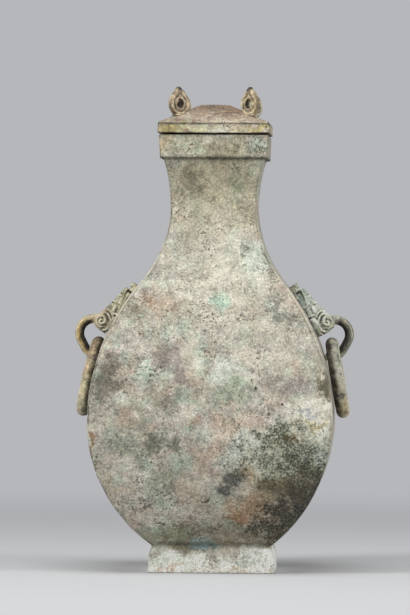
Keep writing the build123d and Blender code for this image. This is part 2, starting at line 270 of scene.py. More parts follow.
def agedBronze(name, look):
    # Cast leaded bronze after long burial: a matt crust of copper minerals, cloudy at a hand's
    # width, mottled at a finger's width, gritty at a grain of sand, and rubbed pale at the edges.
    material = bpy.data.materials.new(name)
    tree = emptyTree(material)
    place = addNode(tree, "TexCoord")["Object"]
    edgeGap = addNode(tree, "Attribute", attribute_name="edgeGap")["Fac"]
    # dirt and painted shade, from each piece's marks
    dirt = addNode(tree, "Attribute", attribute_name="dirt")["Fac"]

    # noises by name, from their size in mm, their octaves and each octave's share of the last
    noise = {}
    seedStep = 3.7  # sets each noise apart from the one before
    for count, (key, (size, octaves, strength)) in enumerate(look["noises"].items()):
        noise[key] = addNode(
            tree, "TexNoise",
            {"Vector": place, "W": look["seed"] + seedStep * count, "Scale": 1 / (size * metre),
             "Detail": octaves, "Roughness": strength},
            noise_dimensions="4D",
        )

    # spreads by name: a noise, from and to which level, and the values there
    tone, fine = look["tone"], look["fine"]
    curved = dict(
        grain=("fleck", 0.46, 0.54, 1.0, 0.25), uneven=("tone", 0.42, 0.56, 1.15, 0.85),
        cluster=("cluster", 0.42, 0.62, 0.15, 1.0), broken=("cluster", 0.40, 0.54, 0.15, 1.0),
        pits=("pit", 0.53, 0.65, 0.0, look["pits"]),
        flecks=("fleck", 0.50, 0.59, 0.0, look["flecks"]),
    )
    straight = dict(
        tone=("tone", 0.38, 0.62, 0.5 - tone, 0.5 + tone),
        fine=("fleck", 0.36, 0.64, 0.5 - fine, 0.5 + fine),
        rough=("skin", 0.35, 0.65, *look["rough"]),
    )
    spread = {}
    for slope, rows in ((smooth, curved), ({}, straight)):
        for key, (source, *levels) in rows.items():
            spread[key] = addNode(tree, "MapRange", [noise[source][0], *levels], **slope)[0]

    # layers of paint, each with its cover, its colour and the way it goes on;
    # first mottles, where a noise lies above a level
    layers = []
    for key, low, high, paint, share in look["mottles"]:
        cover = addNode(tree, "MapRange", [noise[key][0], low, high, 0.0, share], **smooth)[0]
        layers.append((cover, linear(paint), "MIX"))

    # stains: how far a wandering point lies from each middle in shares of its reach, and grit;
    # clouds fade out, crusts end, and those without grit don't wander
    drift = addNode(
        tree, "VectorMath", [noise["drift"][1], (0.5, 0.5, 0.5)], operation="SUBTRACT"
    )[0]
    drift = addNode(
        tree, "VectorMath", {0: drift, "Scale": look["drift"] * metre}, operation="SCALE"
    )[0]
    wandering = addNode(tree, "VectorMath", [place, drift], operation="ADD")[0]
    softCloud, softCrust, grainyFrom, rim = 0.9, 0.5, 4, 0.9
    stains = [(softCloud, *stain) for stain in look["clouds"]]
    stains += [(softCrust, *stain) for stain in look["crusts"]]
    for soft, center, reach, paint, share, grit, *lean in stains:
        middle = tuple(value * metre for value in center)
        size = tuple(value * metre for value in reach)
        start = wandering if grit else place
        away = addNode(tree, "VectorMath", [start, middle], operation="SUBTRACT")[0]
        for degrees in lean:
            away = addNode(
                tree, "VectorRotate", {"Vector": away, "Angle": np.radians(degrees)},
                rotation_type="Y_AXIS",
            )[0]
        away = addNode(tree, "VectorMath", [away, size], operation="DIVIDE")[0]
        away = addNode(tree, "VectorMath", [away], operation="LENGTH")["Value"]
        away = addNode(tree, "Math", [noise["tone"][0], grit, away], operation="MULTIPLY_ADD")[0]
        edge = rim + grit / 2
        levels = (edge + soft / 2, edge - soft / 2, 0.0, share)
        cover = addNode(tree, "MapRange", [away, *levels], **smooth)[0]
        if grit > grainyFrom:
            cover = addNode(tree, "Math", [cover, spread["grain"]], operation="MULTIPLY")[0]
        layers.append((cover, linear(paint), "MIX"))

    # tone from a finger's width down to a grain, then grit, dark pits in clusters and pale flecks,
    # which are drawn at about 2 mm so that they show
    pits = addNode(tree, "Math", [spread["pits"], spread["cluster"]], operation="MULTIPLY")[0]
    layers += [
        (1.0, spread["tone"], "OVERLAY"), (1.0, spread["fine"], "OVERLAY"),
        (pits, linear(look["pitColour"]), "MIX"),
        (spread["flecks"], linear(look["fleckColour"]), "SOFT_LIGHT"),
    ]

    # a dark line beside the edges and rubbed edges, in broken lengths, where the rings' rubbed
    # outer side is also a painted highlight; then dirt in the hollows together with painted shade
    # in corners, joints, holes and sides out of the light
    lineGaps, edgeGaps = (1.4, 2.1, 3.2), (-1.0, 0.0, 1.9)  # mm where they begin, are full, end
    for (near, full, far), paint, share in (
        (lineGaps, look["lineColour"], look["line"]), (edgeGaps, look["edgeColour"], look["edge"]),
    ):
        rise, fall = (
            addNode(tree, "MapRange", [edgeGap, *levels], **smooth)[0]
            for levels in ((near, full, 0.0, share), (far, full, 0.0, 1.0))
        )
        cover = addNode(tree, "Math", [rise, fall], operation="MULTIPLY")[0]
        cover = addNode(tree, "Math", [cover, spread["broken"]], operation="MULTIPLY")[0]
        layers.append((cover, linear(paint), "MIX"))
    cover = addNode(tree, "Math", [dirt, spread["uneven"]], operation="MULTIPLY")[0]
    layers.append((cover, linear(look["dirtColour"]), "MIX"))

    # the ground, in colours from low to high cloud, and the layers over it
    ground = addNode(tree, "ValToRGB", [noise["cloud"][0]])[0]
    stops = ground.node.color_ramp.elements
    while len(stops) < len(look["ground"]):
        stops.new(0.5)
    for stop, (position, paint) in zip(stops, look["ground"]):
        stop.position = position
        stop.color = linear(paint)
    colour = ground
    for cover, paint, way in layers:
        colour = addNode(
            tree, "Mix", {mixCover: cover, mixUnder: colour, mixOver: paint}, **ofColours,
            blend_type=way,
        )[mixResult]

    # relief of the crust: its skin, its grit and the pits in it
    crustHeight, pitDepth = 1.4 * metre, -0.5
    height = addNode(tree, "Math", [noise["skin"][0], noise["tone"][0]], operation="ADD")[0]
    height = addNode(tree, "Math", [pits, pitDepth, height], operation="MULTIPLY_ADD")[0]
    relief = addNode(
        tree, "Bump", {"Strength": look["bump"], "Distance": crustHeight, "Height": height}
    )[0]
    surface = addNode(
        tree, "BsdfPrincipled",
        {"Base Color": colour, "Metallic": look["metal"], "Roughness": spread["rough"],
         "Normal": relief},
    )[0]
    addNode(tree, "OutputMaterial", [surface])
    return material


# Square-section surfaces

def squareLoop(perSide, cornerShares):
    # a square path and the outward steps along it: a side with closer points at its ends, a bevel
    crowding = 0.22
    even = np.linspace(-1, 1, perSide)
    along = even * (1 + crowding - crowding * even ** 2)
    share = np.array(cornerShares)
    path = [np.stack([np.ones(perSide), along], axis=-1), np.ones((len(share), 2))]
    step = [np.tile([1.0, 0.0], (perSide, 1)), np.stack([1 - share, share], axis=-1)]
    path, step = np.vstack(path), np.vstack(step)
    quarter = np.array([[0, 1], [-1, 0]])  # turns a row vector by a quarter
    turns = [np.linalg.matrix_power(quarter, k) for k in range(4)]
    return np.vstack([path @ turn for turn in turns]), np.vstack([step @ turn for turn in turns])


def squareShell(line, bevel, perSide, ends):
    # a profile of half-widths and heights carried round the square loop, bevelled at each level
    acrossBevel = (0.12, 0.5, 0.88)
    path, step = squareLoop(perSide, acrossBevel)
    half, height, bevel = line[:, :1], line[:, 1:], bevel[:, None]
    flat = (half - bevel)[:, :, None] * path + bevel[:, :, None] * step
    level = np.broadcast_to(height[:, :, None], flat.shape[:2] + (1,))
    shell = closedShell(np.concatenate([flat, level], axis=-1), [(0, 0, end) for end in ends])
    # distance to the middle of the bevel, along the side or across the bevel
    halfBevel = 0.7  # for a bevel of 1
    sideGap = (1 - np.abs(path).min(axis=1)) * (half - bevel) + halfBevel * bevel
    bevelGap = 2 * halfBevel * np.abs(np.abs(step[:, 0]) - 0.5) * bevel
    onSide = np.abs(step).max(axis=1) > 0.999
    shell["edgeGap"] = withPoles(np.where(onSide, sideGap, bevelGap))
    return shell


def rowMarks(shell, marks):
    # one mark for each row of a square surface, spread over its columns
    return withPoles(np.broadcast_to(np.asarray(marks, float)[:, None], shell["shape"]))


def wornDepth(shell, wear, outside):
    # depth of the uneven casting and its skin, with nicks where a noise is high beside an edge
    verts = shell["verts"]
    nickFrom, nickGain, insideDepth = 0.46, 4, 0.1
    nicks = np.clip(fractal(verts, *wear["nickNoise"]) - nickFrom, 0, 1) * nickGain
    nicks = nicks * bell(shell["edgeGap"], 0, wear["nickReach"])
    depth = sum(deep * fractal(verts, *noise) for deep, *noise in wear["skin"])
    depth = np.where(rowMarks(shell, outside) > 0.5, depth + wear["nick"] * nicks, insideDepth)
    return depth, nicks


# Vessel

vesselForm = dict(
    footHalf=54.5, footTopHalf=51.0, footTaper=0.4, footBand=12.0, footHeight=23.0, footWall=4.5,
    footPull=(0.45, 0.9), bellyHalf=104.0, bellyHeight=131.0, neckHalf=37.4, neckHeight=316.0,
    neckLowRadius=105.0, neckHighRadius=135.0, collarBaseHalf=46.5, collarHalf=47.3,
    collarBase=355.5, mouthHeight=376.0, wall=2.6, floorUnder=22.0, floorTop=26.0, poleHalf=5.0,
    arris=1.8, neckArris=1.0, rimArris=0.8, shoulder=(235, 62), perSide=70,
    # points on the low belly, the high belly, the hollow under the neck and the flare
    innerCounts=(14, 12, 12, 6), outerCounts=(56, 52, 30, 20),
    # depth, size, octaves and seed of the uneven casting and of its corroded skin; worn edges
    wear=dict(
        skin=[(0.45, 52, 3, 11), (0.22, 8, 2, 21)], nick=1.3, nickNoise=(15, 3, 40), nickReach=2.4,
    ),
    # painted shade inside and over the mouth under the lid, and dirt in the nicks
    insideDirt=0.62, mouthDirt=0.7, nickDirt=0.25, bodyGap=1.5, rimGap=3.0,
)


def wallArcs(form):
    # circles of the wall line: low belly, high belly, hollow under the neck, flare above it
    drop = form["bellyHalf"] - form["footTopHalf"]
    low = ((form["bellyHeight"] - form["footHeight"]) ** 2 + drop ** 2) / (2 * drop)
    neckIn = form["bellyHalf"] - form["neckHalf"]
    rise = form["neckHeight"] - form["bellyHeight"]
    high = (neckIn ** 2 + rise ** 2) / (2 * neckIn) - form["neckLowRadius"]
    highCenter = (form["bellyHalf"] - high, form["bellyHeight"])
    underCenter = (form["neckHalf"] + form["neckLowRadius"], form["neckHeight"])
    return dict(
        low=low, lowCenter=(form["bellyHalf"] - low, form["bellyHeight"]),
        high=high, highCenter=highCenter, under=form["neckLowRadius"], underCenter=underCenter,
        over=form["neckHighRadius"],
        overCenter=(form["neckHalf"] + form["neckHighRadius"], form["neckHeight"]),
        turn=np.degrees(np.arctan2(rise, underCenter[0] - highCenter[0])),
    )


def wallLine(form, depth, bottom, counts):
    # wall line from a bottom height to the collar, sunk by a depth
    arcs = wallArcs(form)
    start = -np.degrees(np.arcsin((form["bellyHeight"] - bottom) / (arcs["low"] - depth)))
    flareRise = form["collarBase"] - form["neckHeight"]
    flare = np.degrees(np.arcsin(flareRise / (arcs["over"] + depth)))
    return chained([
        arcPoints(arcs["lowCenter"], arcs["low"] - depth, start, 0, counts[0]),
        arcPoints(arcs["highCenter"], arcs["high"] - depth, 0, arcs["turn"], counts[1]),
        arcPoints(arcs["underCenter"], arcs["under"] + depth, 180 + arcs["turn"], 180, counts[2]),
        arcPoints(arcs["overCenter"], arcs["over"] + depth, 180, 180 - flare, counts[3]),
    ])


def vesselShell(form):
    # the section from the floor up the inside, over the mouth, down the outside and under the foot
    inner = wallLine(form, form["wall"], form["floorTop"], form["innerCounts"])
    outer = wallLine(form, 0, form["footHeight"], form["outerCounts"])[::-1]
    mouth = (inner[-1, 0], form["mouthHeight"])
    lip = (form["collarHalf"], form["mouthHeight"])
    collar = (form["collarBaseHalf"], form["collarBase"])
    band = (form["footHalf"] - form["footTaper"], form["footBand"])
    pull = (outer[-1] + band) / 2 + form["footPull"]
    foot = (form["footHalf"], 0)
    footIn = (form["footHalf"] - form["footWall"], 0)
    under = (form["footTopHalf"] - form["footWall"], form["floorUnder"])
    floor, ceiling = ((form["poleHalf"], form[key]) for key in ("floorTop", "floorUnder"))
    # runs of points, with the count of each
    runs = [
        linePoints(floor, inner[0], 7), inner,
        *straights([inner[-1], mouth, lip, collar, outer[0]], (8, 9, 18, 7)), outer,
        curvePoints(outer[-1], pull, band, 9),
        *straights([band, foot, footIn, under, ceiling], (12, 7, 8, 6)),
    ]
    ends = np.cumsum([len(run) - 1 for run in runs])
    insideEnd, mouthEnd, bodyStart, bodyEnd, footEnd = ends[[2, 3, 5, 6, 8]]
    line = eased(chained(runs), 1)
    row, height = np.arange(len(line)), line[:, 1]
    outside = (row >= insideEnd) & (row <= footEnd)
    onBody = (row > bodyStart) & (row <= bodyEnd)
    onMouth = (row > insideEnd) & (row < mouthEnd)
    shoulder = bell(height, *form["shoulder"])
    arris = form["neckArris"] + (form["arris"] - form["neckArris"]) * shoulder
    bevel = np.where(onBody, arris, form["rimArris"])
    shell = squareShell(line, bevel, form["perSide"], (form["floorTop"], form["floorUnder"]))
    # dirt and painted shade under the collar; painted shade in the corner over the foot, under the
    # lid and inside; a painted contact shadow at the table
    dirt = bells(height, [
        (form["collarBase"] + 0.3, 1.5, 0.85), (form["footHeight"] + 2.0, 1.8, 0.5),
        (form["mouthHeight"], 2.2, 0.5), (0, 0.9, 0.6),
    ])
    dirt = np.where(outside, dirt, form["insideDirt"]) + form["mouthDirt"] * onMouth
    depth, nicks = wornDepth(shell, form["wear"], outside)
    depth = np.where(shell["verts"][:, 2] < 0.5, 0, depth)  # the standing ring stays flat
    dirt = rowMarks(shell, dirt) + form["nickDirt"] * smoothStep(nicks, 0.3, 0.9)
    shell["dirt"] = np.clip(dirt, 0, 1)
    # the edges are rubbed on the shoulders most, and hardly at all on the foot and the collar
    gap = np.where(onBody, form["bodyGap"] * (1 - shoulder), form["rimGap"])
    shell["edgeGap"] = shell["edgeGap"] + rowMarks(shell, gap)
    return pushed(shell, -depth)


vesselLook = dict(
    seed=1.0, drift=46, tone=0.22, fine=0.05, pits=1.0, flecks=1.0, bump=0.6, metal=0.05,
    rough=(0.6, 0.85),
    noises=dict(
        cloud=(40, 5.0, 0.6), drift=(15, 4.0, 0.6), green=(17, 4.0, 0.66), pink=(20, 4.0, 0.66),
        pale=(18, 4.0, 0.62), dark=(15, 4.0, 0.62), tone=(24, 5.0, 0.98),
        pit=(1.8, 2.0, 0.7), fleck=(1.7, 2.0, 0.7), spot=(7, 2.0, 0.5), cluster=(24, 4.0, 0.6),
        skin=(5, 4.0, 0.6),
    ),
    ground=[(0.34, "#8f8b7b"), (0.45, "#a39f91"), (0.55, "#b2ada1"), (0.68, "#bbb4aa")],
    # noise, from, to, colour, share
    mottles=[
        ("green", 0.46, 0.65, "#92ad9b", 0.52), ("pink", 0.46, 0.65, "#ab9283", 0.52),
        ("pale", 0.52, 0.68, "#cdcabd", 0.42), ("dark", 0.53, 0.68, "#77725f", 0.50),
        ("spot", 0.70, 0.76, "#45412f", 0.70),
    ],
    # middle, reach, colour, share, grit and, for some, lean in degrees, up to the right as seen
    # from the front; the front face first, from the neck down, then the others
    clouds=[
        ((0, 0, 366), (90, 90, 13), "#979178", 0.75, 2),
        ((40, -47, 366), (10, 20, 9), "#a9b9aa", 0.65, 2),
        ((-16, -47, 360), (12, 20, 6), "#a3b39c", 0.60, 2),
        ((-42, -47, 368), (8, 20, 6), "#b9a888", 0.60, 2),
        ((4, -42, 340), (46, 30, 26), "#9c9478", 0.60, 1),
        ((0, -38, 308), (50, 30, 22), "#aca68c", 0.60, 1),
        ((-19, -40, 338), (10, 30, 13), "#666252", 0.75, 1),
        ((18, -40, 326), (6, 30, 14), "#7d866f", 0.60, 1),
        ((0, -75, 262), (62, 60, 44), "#bcb8a9", 0.65, 1),
        ((40, -94, 196), (46, 50, 32), "#b3ada0", 0.60, 1),
        ((-6, -88, 222), (44, 50, 16), "#b6b2a3", 0.50, 1),
        ((36, -62, 270), (13, 60, 22), "#bccabb", 0.55, 1),
        ((10, -82, 232), (10, 50, 8), "#a6c4b0", 0.70, 1),
        ((-36, -82, 234), (14, 50, 10), "#a48d79", 0.60, 2),
        ((55, -86, 230), (6, 50, 12), "#72766f", 0.75, 2),
        ((63, -90, 221), (9, 50, 6), "#787c73", 0.70, 2),
        ((-33, -98, 182), (12, 50, 17), "#867d79", 0.70, 1),
        ((-26, -100, 168), (6, 50, 7), "#716863", 0.60, 2),
        ((-88, -100, 165), (13, 50, 26), "#5e594c", 0.80, 2),
        ((-52, -100, 176), (9, 50, 8), "#bccbb9", 0.70, 1),
        ((12, -100, 172), (14, 50, 16), "#c2ccc0", 0.55, 1),
        ((24, -102, 158), (13, 50, 12), "#939f89", 0.65, 1),
        ((76, -100, 160), (16, 50, 9), "#9c9391", 0.65, 1),
        ((92, -96, 188), (7, 40, 8), "#827e72", 0.60, 2),
        ((92, -100, 136), (26, 50, 24), "#cfccbb", 0.85, 1),
        ((84, -102, 136), (8, 40, 4), "#8b8e9b", 0.65, 1),
        ((90, -102, 128), (7, 40, 5), "#a8965f", 0.65, 1),
        ((-46, -103, 111), (10, 40, 9), "#575b4d", 0.75, 2),
        ((-30, -103, 111), (8, 40, 6), "#565a4b", 0.75, 2),
        ((-72, -102, 110), (16, 40, 12), "#84897a", 0.60, 2),
        ((28, -103, 126), (26, 40, 9), "#b09b86", 0.60, 1),
        ((4, -101, 98), (14, 40, 14), "#b3a393", 0.75, 1),
        ((-18, -96, 72), (18, 40, 18), "#a89a8b", 0.70, 1),
        ((-46, -95, 76), (14, 40, 16), "#8d9682", 0.60, 1),
        ((10, -100, 97), (9, 40, 8), "#c6cbc0", 0.75, 1),
        ((20, -102, 106), (11, 40, 9), "#ced2c8", 0.85, 1),
        ((30, -103, 116), (12, 40, 8), "#ced1c5", 0.80, 1),
        ((44, -103, 126), (10, 40, 6), "#c6cabb", 0.60, 1),
        ((12, -102, 116), (40, 40, 7), "#bcab9a", 0.80, 0, 48),
        ((66, -102, 98), (46, 40, 34), "#868b7a", 0.75, 2),
        ((94, -98, 103), (13, 40, 9), "#98a299", 0.75, 2),
        ((18, -98, 82), (14, 40, 7), "#50544f", 0.82, 1, 35),
        ((10, -96, 75), (6, 40, 4), "#4a4d47", 0.70, 1),
        ((34, -97, 86), (7, 40, 9), "#8b7754", 0.60, 2),
        ((60, -94, 72), (26, 40, 13), "#6f6148", 0.80, 2),
        ((82, -92, 76), (26, 40, 20), "#50493a", 0.65, 1),
        ((84, -90, 66), (18, 40, 15), "#38342a", 0.80, 3),
        ((70, -80, 50), (26, 50, 13), "#302d24", 0.80, 1),
        ((52, -74, 38), (16, 50, 8), "#3a362a", 0.65, 1),
        ((32, -88, 56), (22, 40, 14), "#8c7255", 0.80, 1),
        ((28, -84, 48), (10, 40, 6), "#9c7353", 0.55, 2),
        # painted shade: the lower belly over the foot darkened all round
        ((0, 0, 30), (84, 84, 20), "#6e674f", 0.78, 2),
        ((-3, -66, 26), (14, 40, 4), "#6a8f92", 0.65, 1),
        ((-34, -68, 34), (14, 40, 8), "#7d8468", 0.55, 2),
        ((40, 100, 190), (34, 40, 26), "#8d8078", 0.60, 2),
        ((30, 104, 110), (46, 50, 16), "#c6c3b3", 0.60, 2),
        ((-20, 98, 170), (22, 40, 20), "#93a391", 0.60, 2),
        ((0, 75, 262), (60, 60, 40), "#c6c3b4", 0.50, 1),
        ((104, -40, 150), (50, 22, 26), "#96897d", 0.60, 2),
        ((-104, -45, 60), (50, 26, 20), "#b9c5b6", 0.60, 2),
        ((0, 40, 335), (60, 30, 24), "#8d8a76", 0.50, 2),
    ],
    crusts=[
        # two pinholes from the casting
        ((39, -104, 159.5), (1.3, 40, 1.3), "#191711", 0.95, 0),
        ((61.5, -104, 146), (1.2, 40, 1.2), "#191711", 0.95, 0),
        ((41, -47, 363), (7, 20, 5), "#465046", 0.60, 7),
        ((-46, -47, 358), (7, 14, 5), "#7d6238", 0.65, 5),
        ((46, -47, 357), (7, 14, 4), "#5d5238", 0.65, 5),
        ((-3, -38, 317), (3.5, 30, 4), "#77715f", 0.70, 1),
        ((-3, -38, 302), (2.2, 30, 2.6), "#6b4c38", 0.60, 5),
        ((29, -56, 282), (2.2, 60, 8), "#5c5f4c", 0.60, 4),
        ((31, -64, 262), (2.6, 60, 9), "#6a6f5d", 0.55, 5),
        ((50, -68, 258), (3.4, 60, 13), "#656552", 0.55, 5),
        ((-52, -84, 234), (5, 50, 4), "#9c7f62", 0.55, 4),
        ((-57, -94, 210), (6, 50, 6), "#856d57", 0.60, 5),
        ((101, -98, 165), (6, 40, 18), "#5c573b", 0.80, 4),
        ((-17, -104, 129), (6, 40, 4), "#b98e74", 0.50, 5),
        ((-99, -98, 112), (3.0, 40, 12), "#7a5a35", 0.75, 4),
        ((-96, -96, 88), (3.4, 40, 9), "#86704c", 0.55, 5),
        # granular green-grey on the right of the belly, black at its edge
        ((58, -103, 120), (17, 40, 12), "#43482f", 0.90, 8),
        ((46, -101, 102), (18, 40, 12), "#494d3c", 0.85, 8),
        ((74, -101, 102), (20, 40, 13), "#4a4f3d", 0.88, 8),
        ((80, -96, 86), (30, 40, 13), "#35382b", 0.90, 7),
        ((54, -98, 86), (22, 40, 11), "#54533b", 0.75, 7),
        ((70, -102, 116), (5, 40, 5), "#54461f", 0.70, 4),
        ((15, -86, 49), (5, 40, 4), "#7d523b", 0.60, 5),
        ((70, -80, 50), (22, 50, 10), "#191912", 0.92, 5),
        ((52, -74, 38), (16, 50, 8), "#24231a", 0.88, 5),
        ((68, -76, 42), (7, 40, 4), "#565c38", 0.60, 5),
        ((-4, -92, 64), (4.4, 40, 2.8), "#43392a", 0.85, 1),
        ((-45, -82, 46), (7, 40, 2.6), "#43392a", 0.85, 1),
        ((-58, -90, 65), (3.6, 40, 1.8), "#54483a", 0.75, 3),
        ((-6, -104, 131), (2.2, 40, 1.8), "#4f4a3c", 0.80, 1),
        # the foot, chalky and rust-stained at its lower edge
        ((0, 0, 6), (120, 120, 17.5), "#dfdfd7", 0.92, 1),
        ((-36, -54, 10), (17, 20, 8), "#c3d0c6", 0.40, 5),
        ((0, -54, 19), (50, 20, 3), "#aba595", 0.60, 4),
        ((34, -54, 11), (18, 20, 3), "#a9b0ae", 0.50, 5),
        ((-40, -54, 1.5), (14, 20, 2.4), "#c39a78", 0.50, 6),
        ((20, -54, 3), (36, 20, 3), "#c2ab97", 0.40, 6),
        # painted highlight: the right side of the foot and its front corner near white, as if lit
        # from the right
        ((54, -10, 12), (9, 50, 16), "#eef0ec", 0.90, 1),
        ((55, -54, 19), (7, 20, 9), "#e6e8e2", 0.85, 1),
        ((-70, 96, 80), (40, 50, 30), "#45463a", 0.80, 7),
        ((104, 50, 60), (60, 36, 30), "#3f4036", 0.80, 7),
        ((-104, 30, 95), (50, 34, 18), "#5e6152", 0.75, 7),
    ],
    pitColour="#4f4a3a", fleckColour="#e4e1d6", edgeColour="#dcd2bc", edge=0.8,
    lineColour="#6f6450", line=0.5, dirtColour="#36342a",
)
vesselBronze = agedBronze("castBronzeGreyGreenPatina", vesselLook)
addPiece(
    "vesselWalls", [vesselShell(vesselForm)], "vessel", "vessel_body", vesselBronze
)


# Lid

lidForm = dict(
    half=48.4, rim=8.6, stepWidth=3.4, stepHeight=3.2, stepPull=(0.4, 0.3), dome=18.5, topHalf=8.0,
    capRadius=18.0, wall=2.6, tongueGap=0.5, tongueWall=2.6, tongueDepth=12.0, base=376.3,
    poleHalf=2.0, arris=0.9, arrisShare=0.4, perSide=46,
    # points on the slope and on the cap
    innerCounts=(8, 8), outerCounts=(22, 16), bendPasses=14,
    wear=dict(
        skin=[(0.4, 40, 3, 71), (0.2, 7, 2, 75)], nick=0.9, nickNoise=(13, 3, 70), nickReach=2.0,
    ),
    ragged=(0.2, 0.9), raggedNoise=(9, 2, 79), raggedReach=2.2,
    # painted shade inside the lid, under its rim and in the crease on the step
    insideDirt=0.6, rimDirt=0.75, stepDirt=0.95, rimGap=2.2,
)


def lidArcs(form):
    # the slope leaves the end of the step and touches the cap's circle; heights, and its rise
    rimTop = form["base"] + form["rim"]
    top = rimTop + form["dome"]
    cap = np.array([form["topHalf"], top - form["capRadius"]])
    step = np.array([form["half"] - form["stepWidth"], rimTop + form["stepHeight"]])
    away = step - cap
    turn = np.arctan2(away[1], away[0]) + np.arccos(form["capRadius"] / np.hypot(*away))
    turn = np.degrees(turn)
    rise = np.tan(np.radians(90 - turn))
    return dict(cap=cap, step=step, rimTop=rimTop, top=top, turn=turn, rise=rise)


def slopeHeight(form, half, depth):
    # height of the slope at a half-width, sunk by a depth
    arcs = lidArcs(form)
    bend = arcPoints(arcs["cap"], form["capRadius"] - depth, arcs["turn"], arcs["turn"], 1)[0]
    return bend[1] - (half - bend[0]) * arcs["rise"]


def domeLine(form, depth, edge, counts):
    # dome line from an edge half-width up to the flat top, sunk by a depth
    arcs = lidArcs(form)
    cap = arcPoints(arcs["cap"], form["capRadius"] - depth, arcs["turn"], 90, counts[1])
    return chained([linePoints((edge, slopeHeight(form, edge, depth)), cap[0], counts[0]), cap])


def lidShell(form, mouth):
    # the section from the dome's underside down the tongue, out under the rim and over the dome
    arcs = lidArcs(form)
    half, base, step, top = form["half"], form["base"], arcs["step"], arcs["top"]
    tongue = mouth - form["tongueGap"]
    tongueIn = tongue - form["tongueWall"]
    inner = domeLine(form, form["wall"], tongueIn, form["innerCounts"])[::-1]
    outer = domeLine(form, 0, step[0], form["outerCounts"])
    low = base - form["tongueDepth"]
    rim = (half, arcs["rimTop"])
    pull = np.array([half, step[1]]) - form["stepPull"]
    corners = [inner[-1], (tongueIn, low), (tongue, low), (tongue, base), (half, base), rim]
    runs = [
        linePoints((form["poleHalf"], inner[0, 1]), inner[0], 3), inner,
        *straights(corners, (6, 4, 7, 8, 14)), curvePoints(rim, pull, step, 8), outer,
        linePoints(outer[-1], (form["poleHalf"], top), 4),
    ]
    ends = np.cumsum([len(run) - 1 for run in runs])
    tongueEnd, baseEnd, stepEnd = ends[[4, 5, 7]]
    line = chained(runs)
    dome = eased(line[stepEnd:], form["bendPasses"])  # its bends are soft
    line = np.vstack([eased(line[:stepEnd], 1), dome])
    row, height = np.arange(len(line)), line[:, 1]
    outside = row >= tongueEnd
    bevel = np.minimum(form["arris"], line[:, 0] * form["arrisShare"])
    shell = squareShell(line, bevel, form["perSide"], (top - form["wall"], top))
    # painted shade under the rim, inside, and in the crease on the step over the rim
    dirt = np.where(outside, form["rimDirt"] * bell(height, base, 1.1), form["insideDirt"])
    onStep = bell(height, arcs["rimTop"] + 0.4, 1.0) * (row > baseEnd)
    shell["dirt"] = np.clip(rowMarks(shell, dirt + form["stepDirt"] * onStep), 0, 1)
    depth = wornDepth(shell, form["wear"], outside)[0]
    # the rim's lower edge is ragged, so the joint under it shows as a dark line of uneven height
    verts = shell["verts"]
    onRim = np.abs(verts[:, :2]).max(axis=1) > tongue + 4
    onRim = bell(verts[:, 2], base, form["raggedReach"]) * onRim
    least, more = form["ragged"]
    lift = onRim * (least + more * fractal(verts, *form["raggedNoise"]))
    shell["verts"] = verts + np.array([0, 0, 1]) * lift[:, None]
    shell["edgeGap"] = shell["edgeGap"] + form["rimGap"]
    return pushed(shell, -depth)


lidLook = dict(
    vesselLook, seed=60.0, crusts=[],
    noises=dict(
        vesselLook["noises"], cloud=(30, 7.0, 0.66), green=(13, 6.0, 0.72), pink=(15, 6.0, 0.72),
    ),
    ground=[(0.34, "#7b6857"), (0.45, "#917e6c"), (0.53, "#9e8c7a"), (0.66, "#ac9d8a")],
    mottles=[
        ("green", 0.53, 0.61, "#a5a18f", 0.50), ("pink", 0.52, 0.60, "#977a6a", 0.50),
        ("pale", 0.54, 0.61, "#cdc6b6", 0.45), ("dark", 0.55, 0.62, "#6f5f4c", 0.55),
    ],
    clouds=[
        ((0, 0, 380.5), (90, 90, 6.0), "#b4ae8d", 0.9, 2),
        ((0, 0, 387), (90, 90, 3.4), "#c2b7a6", 0.6, 3),
        ((-36, -48, 381), (13, 14, 6), "#a08c4c", 0.65, 4),
        ((36, -48, 381), (15, 14, 6), "#a89a5c", 0.6, 4),
        ((10, -48, 380), (18, 14, 5), "#d9d7c8", 0.7, 4),
        ((-14, -48, 381), (14, 14, 5), "#b9bd9b", 0.5, 4),
        ((0, -24, 399), (24, 20, 6), "#93806f", 0.5, 4),
        ((34, 20, 390), (12, 16, 8), "#7d8a76", 0.5, 5),
        ((-30, 30, 391), (16, 16, 8), "#7a6a58", 0.5, 5),
    ],
)
lidBronze = agedBronze("castBronzeBrownPatina", lidLook)
mouthHalf = wallLine(vesselForm, vesselForm["wall"], vesselForm["floorTop"], (3, 3, 3, 3))[-1, 0]
addPiece("lidCover", [lidShell(lidForm, mouthHalf)], "lid", "lid", lidBronze)

# the knobs, rings and masks have no crusts, no grit and no dark line beside their edges
fittingLook = dict(vesselLook, crusts=[], fine=0.0, line=0.0)


# Lid knobs

knobForm = dict(
    place=31.0, lift=8.2, radius=10.6, tip=14.8, tipRadius=2.6, eye=3.4, half=3.0,
    stemWidth=5.6, stemFlat=0.62, stemLow=-10.4, stemHigh=-7.0, around=120, across=52,
    stemRows=9, stemCols=28, stemDirt=0.35, skin=(0.35, 4.5, 2), seed=90,
    # on each face, in shares of the way out: middle, width and strength of the groove in it,
    # of its dirt and painted shade (dirt in the groove and on the rim, painted shade in the eye),
    # and of its rubbed lip and ridge
    groove=(0.42, 0.10, 0.46), rimThin=0.30, tipDirt=0.9,
    dirt=[(0.44, 0.11, 0.95), (0, 0.16, 0.85), (1.0, 0.12, 0.4)],
    rubbed=[(0.20, 0.08, farFromEdge), (0.68, 0.10, farFromEdge)],
    # degrees round the lid
    turns={
        "knob_front_left": 225, "knob_front_right": 315,
        "knob_back_left": 135, "knob_back_right": 45,
    },
)


